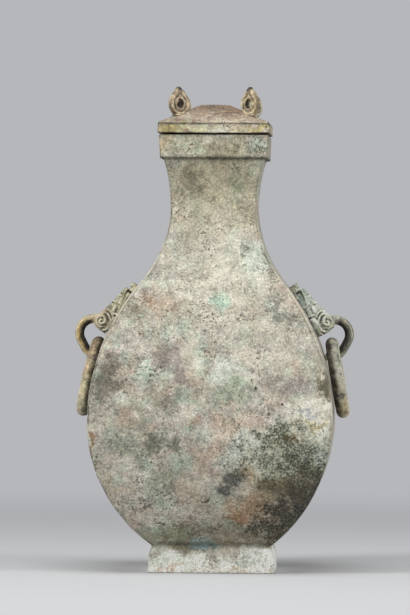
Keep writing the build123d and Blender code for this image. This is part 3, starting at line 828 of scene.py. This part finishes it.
def knobOutline(form, ray):
    # reach of a drop along a ray from its eye: its round, the straight run to its tip, or the tip
    over = np.abs((ray + np.pi) % (2 * np.pi) - np.pi)
    radius, tipRadius = form["radius"], form["tipRadius"]
    apart = form["tip"] - tipRadius
    touch = np.arccos((radius - tipRadius) / apart)
    tipTouch = np.arctan2(tipRadius * np.sin(touch), apart + tipRadius * np.cos(touch))
    steepest = 1.4  # radians, short of a right angle
    straight = radius / np.cos(np.minimum(np.abs(touch - over), steepest))
    inTip = tipRadius ** 2 - (apart * np.sin(over)) ** 2
    atTip = apart * np.cos(over) + np.sqrt(np.maximum(inTip, 0))
    return np.where(over > touch, radius, np.where(over > tipTouch, straight, atTip))


def knobShells(form, turn, eyeHeight, seed):
    # each ray from the eye runs from the hole to the outline, and the section goes round it
    ray, loop = roundTurns(form["around"])[:, None], roundTurns(form["across"])[None, :]
    outline = knobOutline(form, ray)
    share = 0.5 - 0.5 * rounded(np.cos(loop), 0.55)
    reach = form["eye"] + share * (outline - form["eye"])
    # on each face a lip round the eye, a groove, a broad ridge and a thinner rim
    groove = bells(share, [form["groove"]]) + form["rimThin"] * smoothStep(share, 0.82, 1.0)
    out = form["half"] * rounded(np.sin(loop), 0.4) * (1 - groove)
    drop = closedShell(spots(reach * np.sin(ray), reach * np.cos(ray), out))
    onTip = smoothStep(outline, 12.6, 14.2) * smoothStep(share, 0.5, 0.8)
    dirt = np.clip(bells(share, form["dirt"]) + form["tipDirt"] * onTip, 0, 1)
    marked(drop, dirt, bells(share, form["rubbed"]))
    # a short stem, oval in plan, that spreads into the lid
    rise = np.linspace(0, 1, form["stemRows"])[:, None]
    width = form["stemWidth"] * (1.25 - 0.5 * smoothStep(rise, 0, 1))
    stemTurn = roundTurns(form["stemCols"])[None, :]
    stemHeight = form["stemLow"] + (form["stemHigh"] - form["stemLow"]) * rise
    stemOut = form["stemFlat"] * width * np.sin(stemTurn)
    stem = spots(width * np.cos(stemTurn), stemHeight, stemOut)
    stem = closedShell(stem, [(0, form["stemLow"], 0), (0, form["stemHigh"], 0)])
    marked(stem, form["stemDirt"], 0.0)
    radial = np.array([np.cos(np.radians(turn)), np.sin(np.radians(turn)), 0])
    axes = np.stack([radial, (0, 0, 1), (radial[1], -radial[0], 0)])
    middle = radial * form["place"] * np.sqrt(2) + (0, 0, eyeHeight)
    depth, *grain = form["skin"]
    for shell in (drop, stem):
        shell["verts"] = shell["verts"] @ axes + middle
        pushed(shell, -depth * fractal(shell["verts"], *grain, seed))
    return [drop, stem]


knobLook = dict(
    fittingLook,
    seed=120.0, drift=20, metal=0.1, rough=(0.5, 0.75), tone=0.28, pits=0.5, flecks=0.35,
    noises=dict(
        vesselLook["noises"], cloud=(9, 5.0, 0.66), green=(7, 5.0, 0.7), pink=(8, 5.0, 0.7),
        pale=(6, 5.0, 0.7), dark=(6, 5.0, 0.7), tone=(6, 3.0, 0.86), cluster=(9, 3.0, 0.6),
    ),
    ground=[(0.34, "#9c8a6c"), (0.45, "#b6a382"), (0.55, "#cab797"), (0.68, "#d6c5a6")],
    mottles=[
        ("green", 0.52, 0.66, "#9aa38b", 0.50), ("pink", 0.52, 0.66, "#9b755a", 0.45),
        ("pale", 0.54, 0.66, "#e0d3b8", 0.50), ("dark", 0.56, 0.68, "#5d4e36", 0.50),
    ],
    clouds=[((31, 31, 405), (16, 16, 20), "#a7ad94", 0.6, 3)],
    edgeColour="#ead8b6", edge=0.95, dirtColour="#231c13",
)
knobBronze = agedBronze("rubbedBronzeTanPatina", knobLook)
eyeHeight = slopeHeight(lidForm, knobForm["place"], 0) + knobForm["lift"]
for count, (node, turn) in enumerate(knobForm["turns"].items()):
    shells = knobShells(knobForm, turn, eyeHeight, knobForm["seed"] + count)
    addPiece(node.replace("knob", "dropKnob"), shells, "lid", node, knobBronze)


# Places on the shoulder of the right-hand face

maskHeight = 225.5
wall = wallArcs(vesselForm)
maskTurn = np.arcsin((maskHeight - wall["highCenter"][1]) / wall["high"])


def onWall(across, up, out):
    # points from the way across the face, the way up its slope and the way out of it
    turn = maskTurn + up / wall["high"]
    far = wall["high"] + out
    midX, midZ = wall["highCenter"]
    return spots(midX + far * np.cos(turn), across, midZ + far * np.sin(turn))


# Rings

ringForm = dict(
    radius=29.5, tube=6.0, around=176, across=36, curlPlace=(-34.1, 8.8), curlInner=8.2,
    clearance=0.6, restGap=0.3,
    seats={"left": (-1, 112.0, 110), "right": (1, 50.0, 120)},  # side, degrees round the curl, seed
    # depth, size, octaves and step of the seed, for the uneven tube and for the pits in it
    skin=[(0.25, 22, 2, 0), (0.2, 5, 3, 3)], pit=(0.9, 6, 2, 7), pitFrom=0.66,
    # dirt in the pits, dirt and painted shade on the side facing the vessel, and the rubbed outer
    # side, which is partly a painted highlight
    pitDirt=2.0, backDirt=0.92, rubbed=5.6,
)


def ringShell(form, hand):
    # a tube round a circle that leans from its pivot in the curl until it rests against the belly
    side, seat, seed = form["seats"][hand]
    radius, tube = form["radius"], form["tube"]
    seat = np.radians(seat)
    play = form["curlInner"] - tube - form["clearance"]
    pivot = onWall(0.0, *form["curlPlace"]) + play * np.array([np.cos(seat), 0, -np.sin(seat)])
    out, up = pivot[0] - wall["highCenter"][0], pivot[2] - wall["highCenter"][1]
    rest = wall["high"] + tube + form["restGap"]
    lean = np.arcsin(rest / np.hypot(out, up)) - np.arctan2(out, up)
    ray, loop = roundTurns(form["around"])[:, None], roundTurns(form["across"])[None, :]
    reach = radius + tube * np.cos(loop)
    down = np.array([np.sin(lean), 0, -np.cos(lean)])
    facing = np.array([np.cos(lean), 0, np.sin(lean)])
    grid = pivot + radius * down + (reach * np.cos(ray))[..., None] * down
    grid = grid + (reach * np.sin(ray))[..., None] * np.array([0, 1, 0])
    grid = grid + (tube * np.sin(loop) + 0 * ray)[..., None] * facing
    shell = closedShell(grid * (side, 1, 1))
    verts = shell["verts"]
    depth = sum(deep * fractal(verts, *grain, seed + step) for deep, *grain, step in form["skin"])
    pitDepth, *grain, step = form["pit"]
    pit = np.clip(fractal(verts, *grain, seed + step) - form["pitFrom"], 0, 1)
    # dirt in the pits; on the side that faces the vessel, dirt where no hand rubs and painted shade
    # from the vessel close by
    dirt = form["backDirt"] * smoothStep(-np.sin(loop), -0.2, 0.5)
    dirt = np.clip(form["pitDirt"] * pit.reshape(shell["shape"]) + dirt, 0, form["backDirt"])
    # the outer side is rubbed pale, partly wear and partly a painted highlight on its lit flank
    marked(shell, dirt, form["rubbed"] * smoothStep(np.sin(loop), 0.5, 0.95))
    return pushed(shell, -(depth + pitDepth * pit))


ringLook = dict(
    fittingLook,
    seed=180.0, drift=24, metal=0.1, rough=(0.48, 0.72), tone=0.32, pits=0.5, flecks=0.35,
    noises=dict(
        vesselLook["noises"], cloud=(18, 6.0, 0.66), green=(10, 5.0, 0.7), pink=(9, 5.0, 0.7),
        pale=(7, 5.0, 0.7), dark=(8, 5.0, 0.7), tone=(7, 3.0, 0.86), cluster=(12, 3.0, 0.6),
    ),
    ground=[(0.34, "#8a7c62"), (0.45, "#a09174"), (0.55, "#b3a486"), (0.68, "#c0b394")],
    mottles=[
        ("green", 0.50, 0.66, "#9a9d80", 0.55), ("pink", 0.52, 0.66, "#8e6c51", 0.55),
        ("pale", 0.54, 0.66, "#d8cdb4", 0.45), ("dark", 0.56, 0.68, "#5b503a", 0.45),
    ],
    clouds=[
        ((110, 0, 178), (40, 70, 34), "#94968a", 0.85, 1),
        ((112, 0, 140), (30, 60, 12), "#a79c78", 0.60, 2),
        ((-104, -20, 198), (20, 40, 14), "#7a6249", 0.60, 2),
        ((-112, -20, 150), (20, 40, 18), "#b9b394", 0.50, 2),
    ],
    edgeColour="#d6cdb4", edge=0.75, dirtColour="#2a241a",
)
ringBronze = agedBronze("handledBronzeOliveBrown", ringLook)
for hand in ("left", "right"):
    node = "ring_" + hand
    shells = [ringShell(ringForm, hand)]
    addPiece("looseRing_" + hand, shells, node, node, ringBronze)


# Beast masks with their nose hooks

maskForm = dict(
    plate=4.8, root=-2.3, middle=(0.0, -3.0), around=420, topRows=66,
    top=(13.0, 15.0), side=(16.0, -4.0), bottom=(8.4, -25.5), cheek=(10.5, -14.0, 8.6),
    # heights out of the wall, or over what lies under: cheeks, brows, lids and eyes
    plateDip=0.8, cheekSink=0.6, cheekOut=4.0, cheekRise=1.8, cheekGroove=1.4, cheekPitch=4.8,
    brow=(9.6, -3.5, 9.0), browRise=2.8, browWidth=1.6, browSpread=1.2,
    lidHalf=7.0, lidOut=6.3, lidRidge=(6.0, 0.7, 0.5), socketHalf=5.3, socketOut=5.6,
    eye=4.6, eyeOut=5.4, pupil=(0, 0.9, 0.9),
    ear=dict(
        across=15.8, low=1.0, high=16.6, half=3.2, lowOut=5.2, highOut=7.7, hollow=2.4, inset=0.6,
        rows=72, cols=80, endDrop=0.8,
    ),
    noseHalf=4.0, snoutHalf=8.4, snoutStart=-10.0, crest=(15.5, 5.6), crestLift=2.0,
    # side line of the nose, up the slope and out of the wall, from the plume down to the chin
    noseLine=[
        (24.0, -2.3), (23.4, 7.9), (19.1, 8.2), (18.4, 5.6), (17.4, 5.6), (16.7, 9.7),
        (13.0, 10.5), (8.0, 11.0), (-3.0, 13.4), (-12.5, 17.0), (-16.6, 21.0), (-20.0, 18.9),
        (-23.5, 16.5), (-25.2, 11.0), (-26.1, 5.9), (-26.2, -2.3),
    ],
    noseRows=260, noseCols=96, crowding=0.22,
    # flanks of the snout: a coil and how far it stands out, ridges behind it, a hollow, curls
    volute=(-17.3, 12.6, 5.8), coilPitch=3.9, coilOut=(0.2, 1.7),
    ridges=[(8.0, 0.9, 1.7), (11.0, 0.8, 1.4)], ridgeBack=0.6, sink=-1.4, flankShare=0.9,
    curlPitch=5.6, curlRise=0.35,
    hookPlace=(-29.1, 14.3), hookBend=12.7, hookHalf=4.0, hookDepth=4.2, hookRoot=(-16.0, 12.0),
    # points on the hook's start, bend, straight and curl, and round it
    curlEnd=118.0, hookCounts=(12, 40, 5, 46), hookCols=44, hookRubbed=5.2, skin=(0.25, 5, 3),
)


def faceGap(across, up, form):
    # distance outside the face's outline, below 0 inside: the least of plate, cheek, ear and crest
    over = np.abs(across)
    corners = [form["bottom"], form["side"], form["top"]]
    plate = np.maximum(up - form["top"][1], form["bottom"][1] - up)
    for (ax, ay), (bx, by) in zip(corners, corners[1:]):
        beyond = (over - ax) * (by - ay) - (up - ay) * (bx - ax)
        plate = np.maximum(plate, beyond / np.hypot(bx - ax, by - ay))
    cheekX, cheekY, cheekR = form["cheek"]
    crestUp, crestR = form["crest"]
    ear = form["ear"]
    earUp = np.clip(up, ear["low"] + ear["half"], ear["high"] - ear["half"])
    return np.minimum.reduce([
        plate, np.hypot(over - cheekX, up - cheekY) - cheekR,
        np.hypot(over - ear["across"], up - earUp) - ear["half"] + ear["inset"],
        np.hypot(across, up - crestUp - form["crestLift"]) - crestR,
    ])


def scroll(across, up, x, y, pitch):
    # 1 on the ridges of a spiral about a point and 0 in its groove
    turn = np.arctan2(up - y, across - x) / (2 * np.pi)
    return 0.5 + 0.5 * np.cos(2 * np.pi * (np.hypot(across - x, up - y) / pitch - turn))


def faceRelief(across, up, form):
    # height of the face: a plate with brows, lids, eyeballs and scrolled cheeks over it
    over = np.abs(across)
    relief = form["plate"] - form["plateDip"] * smoothStep(over, 2, 9) * smoothStep(-up, -6, 8)
    cheekX, cheekY, cheekR = form["cheek"]
    cheek = np.hypot(over - cheekX, up - cheekY)
    dome = np.sqrt(np.clip(1 - (cheek / cheekR) ** 2, 0, 1))
    groove = 1 - scroll(over, up, cheekX, cheekY, form["cheekPitch"])
    swell = form["cheekOut"] + form["cheekRise"] * dome
    swell = swell - form["cheekGroove"] * groove * smoothStep(cheek, 1, 2.5)
    relief = np.where(cheek < cheekR, np.maximum(relief - form["cheekSink"], swell), relief)
    browX, browY, browR = form["brow"]
    eye = np.hypot(over - browX, up - browY)
    turn = np.degrees(np.arctan2(up - browY, over - browX))
    browLine = browR + form["browSpread"] * smoothStep(-turn, -60, 20)
    brow = form["browRise"] * bell(eye, browLine, form["browWidth"])
    relief = relief + brow * smoothStep(turn, -40, 0) * smoothStep(-turn, -200, -160)
    lid = form["lidOut"] + bells(eye, [form["lidRidge"]])
    relief = np.maximum(relief, np.where(eye < form["lidHalf"], lid, 0))
    relief = np.where(eye < form["socketHalf"], form["socketOut"], relief)
    ball = form["eyeOut"] + np.sqrt(np.clip(form["eye"] ** 2 - eye ** 2, 0, None))
    ball = ball - bells(eye, [form["pupil"]])
    return np.where(eye < form["eye"], np.maximum(relief, ball), relief)


def faceShell(form):
    # loops of the face's outline drawn in to its middle: under it, up its side and over its relief
    ray = roundTurns(form["around"])
    trial = np.linspace(4, 42, 500)  # reaches that are tried along each ray
    midX, midY = form["middle"]
    tryX, tryY = np.cos(ray)[:, None] * trial, np.sin(ray)[:, None] * trial
    gap = faceGap(midX + tryX, midY + tryY, form)
    rim = trial[gap.shape[1] - 1 - np.argmax((gap < 0)[:, ::-1], axis=1)]
    rim = (np.roll(rim, 1) + 2 * rim + np.roll(rim, -1)) / 4
    # rows under the face, up its side, close together at its edge, and even over the rest
    near = 1 - np.array([0.004, 0.010, 0.018, 0.028, 0.040, 0.055])
    over = np.linspace(0.93, 0.02, form["topRows"])
    share = np.concatenate([[0.3, 0.7, 1.0, 1.0], near, over])[:, None]
    across = midX + share * rim * np.cos(ray)
    up = midY + share * rim * np.sin(ray)
    relief = faceRelief(across, up, form)
    edge = smoothStep((1 - share) * rim, 0, 1.5) ** 0.6
    out = form["root"] + (relief - form["root"]) * edge
    out[:3] = form["root"]
    out[3] = 0.2
    poles = [onWall(midX, midY, form["root"]), onWall(midX, midY, out[-1].mean())]
    shell = closedShell(onWall(across, up, out), np.array(poles))
    # dirt in the hollows, painted shade at the wall, and rubbed ridges
    ridge = bulge(relief, 5)
    dirt = np.clip(-0.9 * ridge, 0, 0.9) + 0.6 * bell(out, 0.6, 1.6)
    return marked(shell, dirt, farFromEdge * smoothStep(ridge, 0.15, 0.8))


def earShell(form, side):
    # a bar up the slope, rounded at its lower end, whose outer side is hollow between thin rims
    ear, root = form["ear"], form["root"]
    way = np.sin(np.linspace(-np.pi / 2, np.pi / 2, ear["rows"]))[:, None]
    loop = roundTurns(ear["cols"])[None, :]
    up = (ear["low"] + ear["high"]) / 2 + way * (ear["high"] - ear["low"]) / 2
    end = np.clip(1 - np.abs(way) ** 9, 0, 1) ** 0.5
    high = ear["lowOut"] + (ear["highOut"] - ear["lowOut"]) * smoothStep(way, -1, 0.8)
    high = high - ear["endDrop"] * (1 - end)
    out = (high + root) / 2 + (high - root) / 2 * rounded(np.sin(loop), 0.45)
    wide = ear["half"] * (0.5 + 0.5 * end) * rounded(np.cos(loop), 0.45)
    cup = smoothStep(out, 0.7, 2.4) * smoothStep(high - out, 0.5, 2.0)
    cup = cup * smoothStep(np.cos(loop), 0.05, 0.5)
    cup = cup * smoothStep(way, -0.98, -0.6) * smoothStep(1 - way, 0.0, 0.03)
    across = side * (ear["across"] + wide - ear["hollow"] * (0.55 + 0.45 * way) * cup)
    poles = [onWall(side * ear["across"], up[k, 0], root / 2) for k in (0, -1)]
    shell = closedShell(onWall(across, np.broadcast_to(up, out.shape), out), np.array(poles))
    # dirt in the trough with painted shade that deepens to its open end, painted shade at the wall,
    # and rubbed rims
    rims = np.maximum(bell(out, high, 0.8), bell(out, 1.0, 0.5))
    rims = rims * smoothStep(np.cos(loop), -0.2, 0.5)
    dirt = cup * (0.2 + 0.7 * smoothStep(way, 0.35, 0.9)) + 0.6 * bell(out, 0.0, 0.8)
    return marked(shell, np.clip(dirt, 0, 0.92), farFromEdge * rims)


def snoutShell(form):
    # arches across the nose along its side line: rounded top, steep flanks with scrolls in relief
    marks = np.array(form["noseLine"])
    length = np.concatenate([[0], np.cumsum(np.hypot(*np.diff(marks, axis=0).T))])
    even = np.linspace(0, length[-1], form["noseRows"])
    line = np.stack([np.interp(even, length, marks[:, k]) for k in range(2)], axis=-1)
    line = eased(line, 3)
    up, high = line[:, :1], line[:, 1:] - form["root"]
    spread = smoothStep(-up, -form["snoutStart"] - 8, -form["snoutStart"] + 1)
    width = form["noseHalf"] + (form["snoutHalf"] - form["noseHalf"]) * spread
    crestUp, crestR = form["crest"]
    width = np.maximum(width, np.sqrt(np.clip(crestR ** 2 - (up - crestUp) ** 2, 0, None)))
    turn = np.linspace(np.pi, 0, form["noseCols"])[None, :]
    turn = turn + form["crowding"] * np.sin(2 * turn)  # closer points over the top
    across = width * rounded(np.cos(turn), 0.45)
    out = form["root"] + high * np.abs(np.sin(turn)) ** 0.55
    upAll = np.broadcast_to(up, out.shape)
    # flanks: a coiled disc, two C-shaped ridges behind it, and a hollow between them and the wall
    flank = smoothStep(np.abs(across) / width, 0.72, 0.96) * smoothStep(-upAll, 1, 6)
    coilUp, coilOut, coilR = form["volute"]
    least, more = form["coilOut"]
    away = np.hypot(upAll - coilUp, out - coilOut)
    coil = least + more * scroll(upAll, out, coilUp, coilOut, form["coilPitch"])
    disc = smoothStep(coilR - away, 0, 0.8) * coil
    back = np.hypot(upAll - coilUp + form["ridgeBack"], out - coilOut)
    behind = smoothStep(coilOut - out + 0.7 * (upAll - coilUp), -4, 2)
    ridge = bells(back, form["ridges"]) * behind
    sink = form["sink"] * bell(upAll, -8.6, 2.2) * bell(out, 3.0, 2.6)
    # brow: small curls along the bridge, which run down both sides
    curlWay = (upAll - 0.9 * np.abs(across)) / form["curlPitch"]
    curls = np.cos(2 * np.pi * curlWay + 1.2 * np.sin(0.7 * upAll))
    curls = curls * smoothStep(upAll, -10, -4) * smoothStep(-upAll, -16, -11)
    curls = curls * smoothStep(np.sin(turn) + 0 * up, 0.35, 0.8)
    lift = flank * (disc + ridge + sink)
    wide = across + form["flankShare"] * np.sign(across) * lift
    poles = [onWall(0.0, line[k, 0], form["root"]) for k in (0, -1)]
    shell = closedShell(onWall(wide, upAll, out + form["curlRise"] * curls), np.array(poles))
    # dirt in the hollows, painted shade at the wall and under the plume; rubbed ridges and tip
    shape = bulge(lift + 0.5 * curls, 4)
    tip = smoothStep(out, 14.5, 16.5) * smoothStep(-upAll, 15, 17)
    dirt = np.clip(-1.6 * shape, 0, 0.85) + 0.5 * bell(out, 0.3, 1.4)
    dirt = dirt + 0.7 * smoothStep(upAll, 22.4, 23.6)
    rubbed = np.maximum(smoothStep(shape, 0.05, 0.4), 0.7 * tip)
    return marked(shell, np.clip(dirt, 0, 0.9), farFromEdge * rubbed)


def hookShell(form, curlPlace, curlInner):
    # a rounded bar along the hook's middle line: out of the snout, over the bend and round the curl
    places = (form["hookRoot"], form["hookPlace"], curlPlace)
    root, bend, curl = (onWall(0.0, *place)[[0, 2]] for place in places)
    startCount, bendCount, straightCount, curlCount = form["hookCounts"]
    curlRadius = curlInner + form["hookHalf"]
    toCurl = curl - bend
    heading = np.degrees(np.arctan2(toCurl[1], toCurl[0]))
    narrowing = np.arcsin((form["hookBend"] - curlRadius) / np.hypot(*toCurl))
    tangent = heading + 90 - np.degrees(narrowing)
    upper = arcPoints(bend, form["hookBend"], 90, tangent, bendCount)
    lower = arcPoints(curl, curlRadius, tangent, -form["curlEnd"] + 4, curlCount)
    start = linePoints((root[0], upper[0, 1]), upper[0], startCount)
    line = chained([start, upper, linePoints(upper[-1], lower[0], straightCount), lower])
    heading = np.gradient(line, axis=0)
    heading /= np.linalg.norm(heading, axis=1, keepdims=True)
    way = np.linspace(0, 1, len(line))[:, None]
    close = np.sqrt(np.clip(1 - smoothStep(way, 0.975, 1.03) ** 2, 0.02, 1))  # rounds the tip
    swell = close * (1 - 0.1 * smoothStep(way, 0.45, 1.0))
    loop = roundTurns(form["hookCols"])[None, :]
    away = form["hookHalf"] * rounded(np.cos(loop), 0.75) * swell
    across = form["hookDepth"] * rounded(np.sin(loop), 0.75) * swell
    out, up = line[:, :1] - away * heading[:, 1:], line[:, 1:] + away * heading[:, :1]
    poles = [(line[k, 0], 0, line[k, 1]) for k in (0, -1)]
    shell = closedShell(spots(out, across, up), poles)
    # painted shade darkens the side that faces the vessel, and the corners are rubbed
    shadedInside, corner = smoothStep(-np.cos(loop), -0.25, 0.3), bell(np.cos(loop), 0.55, 0.4)
    return marked(shell, 1.1 * shadedInside * smoothStep(way, 0.10, 0.2), form["hookRubbed"] * corner)


def maskShells(form, side, seed):
    # face, ears, snout and hook of the right-hand mask, or their mirror image
    shells = [faceShell(form), earShell(form, -1), earShell(form, 1), snoutShell(form)]
    shells.append(hookShell(form, ringForm["curlPlace"], ringForm["curlInner"]))
    depth, *grain = form["skin"]
    for shell in shells:
        pushed(shell, -depth * fractal(shell["verts"], *grain, seed))
        shell["verts"] = shell["verts"] * (side, 1, 1)
        if side < 0:
            turned(shell)
    return shells


maskLook = dict(
    fittingLook,
    seed=240.0, drift=18, metal=0.08, rough=(0.52, 0.78), tone=0.26, pits=0.4, flecks=0.3,
    noises=dict(
        vesselLook["noises"], cloud=(16, 6.0, 0.66), green=(9, 5.0, 0.7), pink=(9, 5.0, 0.7),
        pale=(7, 5.0, 0.7), dark=(7, 5.0, 0.7), tone=(6, 3.0, 0.86), cluster=(10, 3.0, 0.6),
    ),
    ground=[(0.34, "#938d74"), (0.45, "#a8a188"), (0.55, "#b8b197"), (0.68, "#c7bfa6")],
    mottles=[
        ("green", 0.48, 0.66, "#93a793", 0.60), ("pink", 0.50, 0.66, "#8f7757", 0.55),
        ("pale", 0.52, 0.66, "#d9d4c0", 0.50), ("dark", 0.55, 0.66, "#544f3c", 0.50),
    ],
    clouds=[
        ((-118, 0, 200), (18, 20, 30), "#b0955a", 0.85, 1),
        ((-78, 0, 238), (20, 40, 20), "#aba98d", 0.50, 1),
        ((-97, 0, 219), (9, 40, 9), "#c8b597", 0.50, 1),
        # painted shade: the right hook darkened, as if out of the light
        ((118, 0, 200), (18, 20, 30), "#55564a", 0.85, 1),
        ((86, 0, 228), (22, 40, 26), "#d2d9cd", 0.75, 1),
        ((76, 0, 236), (8, 40, 10), "#6f8a80", 0.50, 2),
    ],
    edgeColour="#e8e3d2", edge=0.95, dirtColour="#201b12",
)
maskBronze = agedBronze("carvedBronzeGreenPatina", maskLook)
for side, hand, seed in ((-1, "left", 131), (1, "right", 149)):
    shells = maskShells(maskForm, side, seed)
    addPiece("beastMask_" + hand, shells, "vessel", "mask_" + hand, maskBronze)


# Studio: a pale paper floor that fades into the backdrop, soft boxes and the camera

studio = dict(
    paper=("#cdced0", "#d3d4d6"), paperNoise=(0.5, 3.0, 0.5), paperRough=0.9, fade=(0.45, 1.9),
    backdrop="#b6b7bb", fill=0.17,
    # name, place, aim, size in metres, power in watts
    lamps=[
        ("softBoxLeft", (-2.1, -1.5, 1.4), (0, 0, 0.2), 0.9, 48),
        ("softBoxRight", (2.3, -1.0, 1.0), (0, 0, 0.2), 0.9, 34),
        ("softBoxTop", (0, -0.7, 2.1), (0, 0, 0.2), 1.2, 19),
    ],
)


def paperFloor(form):
    # one square of floor, clear beyond the end of its fade, so that it hides nothing from any side
    half = form["fade"][1]
    corners = [(-half, -half, 0), (half, -half, 0), (half, half, 0), (-half, half, 0)]
    mesh = bpy.data.meshes.new("paperFloor")
    mesh.from_pydata(corners, [], [(0, 1, 2, 3)])
    # matt paper: even and soft, so that only the vessel draws the eye
    paper = bpy.data.materials.new("mattPaper")
    tree = emptyTree(paper)
    place = addNode(tree, "TexCoord")["Object"]
    size, octaves, strength = form["paperNoise"]
    noise = addNode(
        tree, "TexNoise",
        {"Vector": place, "Scale": 1 / size, "Detail": octaves, "Roughness": strength},
    )[0]
    low, high = (linear(paint) for paint in form["paper"])
    colour = addNode(
        tree, "Mix", {mixCover: noise, mixUnder: low, mixOver: high}, **ofColours
    )[mixResult]
    sheet = addNode(
        tree, "BsdfPrincipled", {"Base Color": colour, "Roughness": form["paperRough"]}
    )[0]
    clear = addNode(tree, "BsdfTransparent")[0]
    away = addNode(tree, "VectorMath", [place], operation="LENGTH")["Value"]
    fade = addNode(tree, "MapRange", [away, *form["fade"], 0.0, 1.0], **smooth)[0]
    surface = addNode(tree, "MixShader", [fade, sheet, clear])[0]
    addNode(tree, "OutputMaterial", [surface])
    mesh.materials.append(paper)
    floor = placed("paperFloor", mesh)


def studioWorld(form):
    # white fill for light, and the backdrop's colour for what is seen straight or in a reflection
    world = bpy.data.worlds.new("studioWorld")
    tree = emptyTree(world)
    ray = addNode(tree, "LightPath")
    seen = ray["Is Camera Ray"]
    for kind in ("Is Glossy Ray", "Is Transmission Ray"):
        seen = addNode(tree, "Math", [seen, ray[kind]], operation="ADD")[0]
    fill, back = (
        addNode(tree, "Background", {"Color": linear(paint), "Strength": strength})[0]
        for paint, strength in (("#ffffff", form["fill"]), (form["backdrop"], 1.0))
    )
    surface = addNode(tree, "MixShader", [seen, fill, back])[0]
    addNode(tree, "OutputWorld", [surface])
    bpy.context.scene.world = world


def aimed(thing, place, aim):
    # tilt from the rise over the level way, and turn from the way across over the way ahead
    thing.location = place
    toAim = np.array(aim) - np.array(place)
    tilt = np.arctan2(toAim[2], np.hypot(toAim[0], toAim[1]))
    thing.rotation_euler = (np.pi / 2 + tilt, 0, np.arctan2(-toAim[0], toAim[1]))


paperFloor(studio)
studioWorld(studio)
for name, place, aim, size, power in studio["lamps"]:
    light = bpy.data.lights.new(name, "AREA")
    light.size = size
    light.energy = power
    aimed(placed(name, light), place, aim)
bpy.context.scene.view_settings.view_transform = "Standard"

# metres, degrees and, for the sensor, mm; the span is the height of the frame at the aim
view = dict(
    distance=4.2, aim=(-0.0083, 0, 0.2275), turn=2.3, roll=0.35, span=0.533, sensor=36.0, reach=50,
)
camera = bpy.data.cameras.new("camera")
camera.sensor_fit = "VERTICAL"
camera.sensor_height = view["sensor"]
camera.lens = view["sensor"] * view["distance"] / view["span"]
camera.clip_end = view["reach"]
eye = placed("camera", camera)
swing = np.radians(view["turn"])
away = view["distance"] * np.array([np.sin(swing), -np.cos(swing), 0])
aimed(eye, np.array(view["aim"]) + away, view["aim"])
eye.rotation_euler.rotate_axis("Z", np.radians(view["roll"]))
bpy.context.scene.camera = eye
print("studio set")
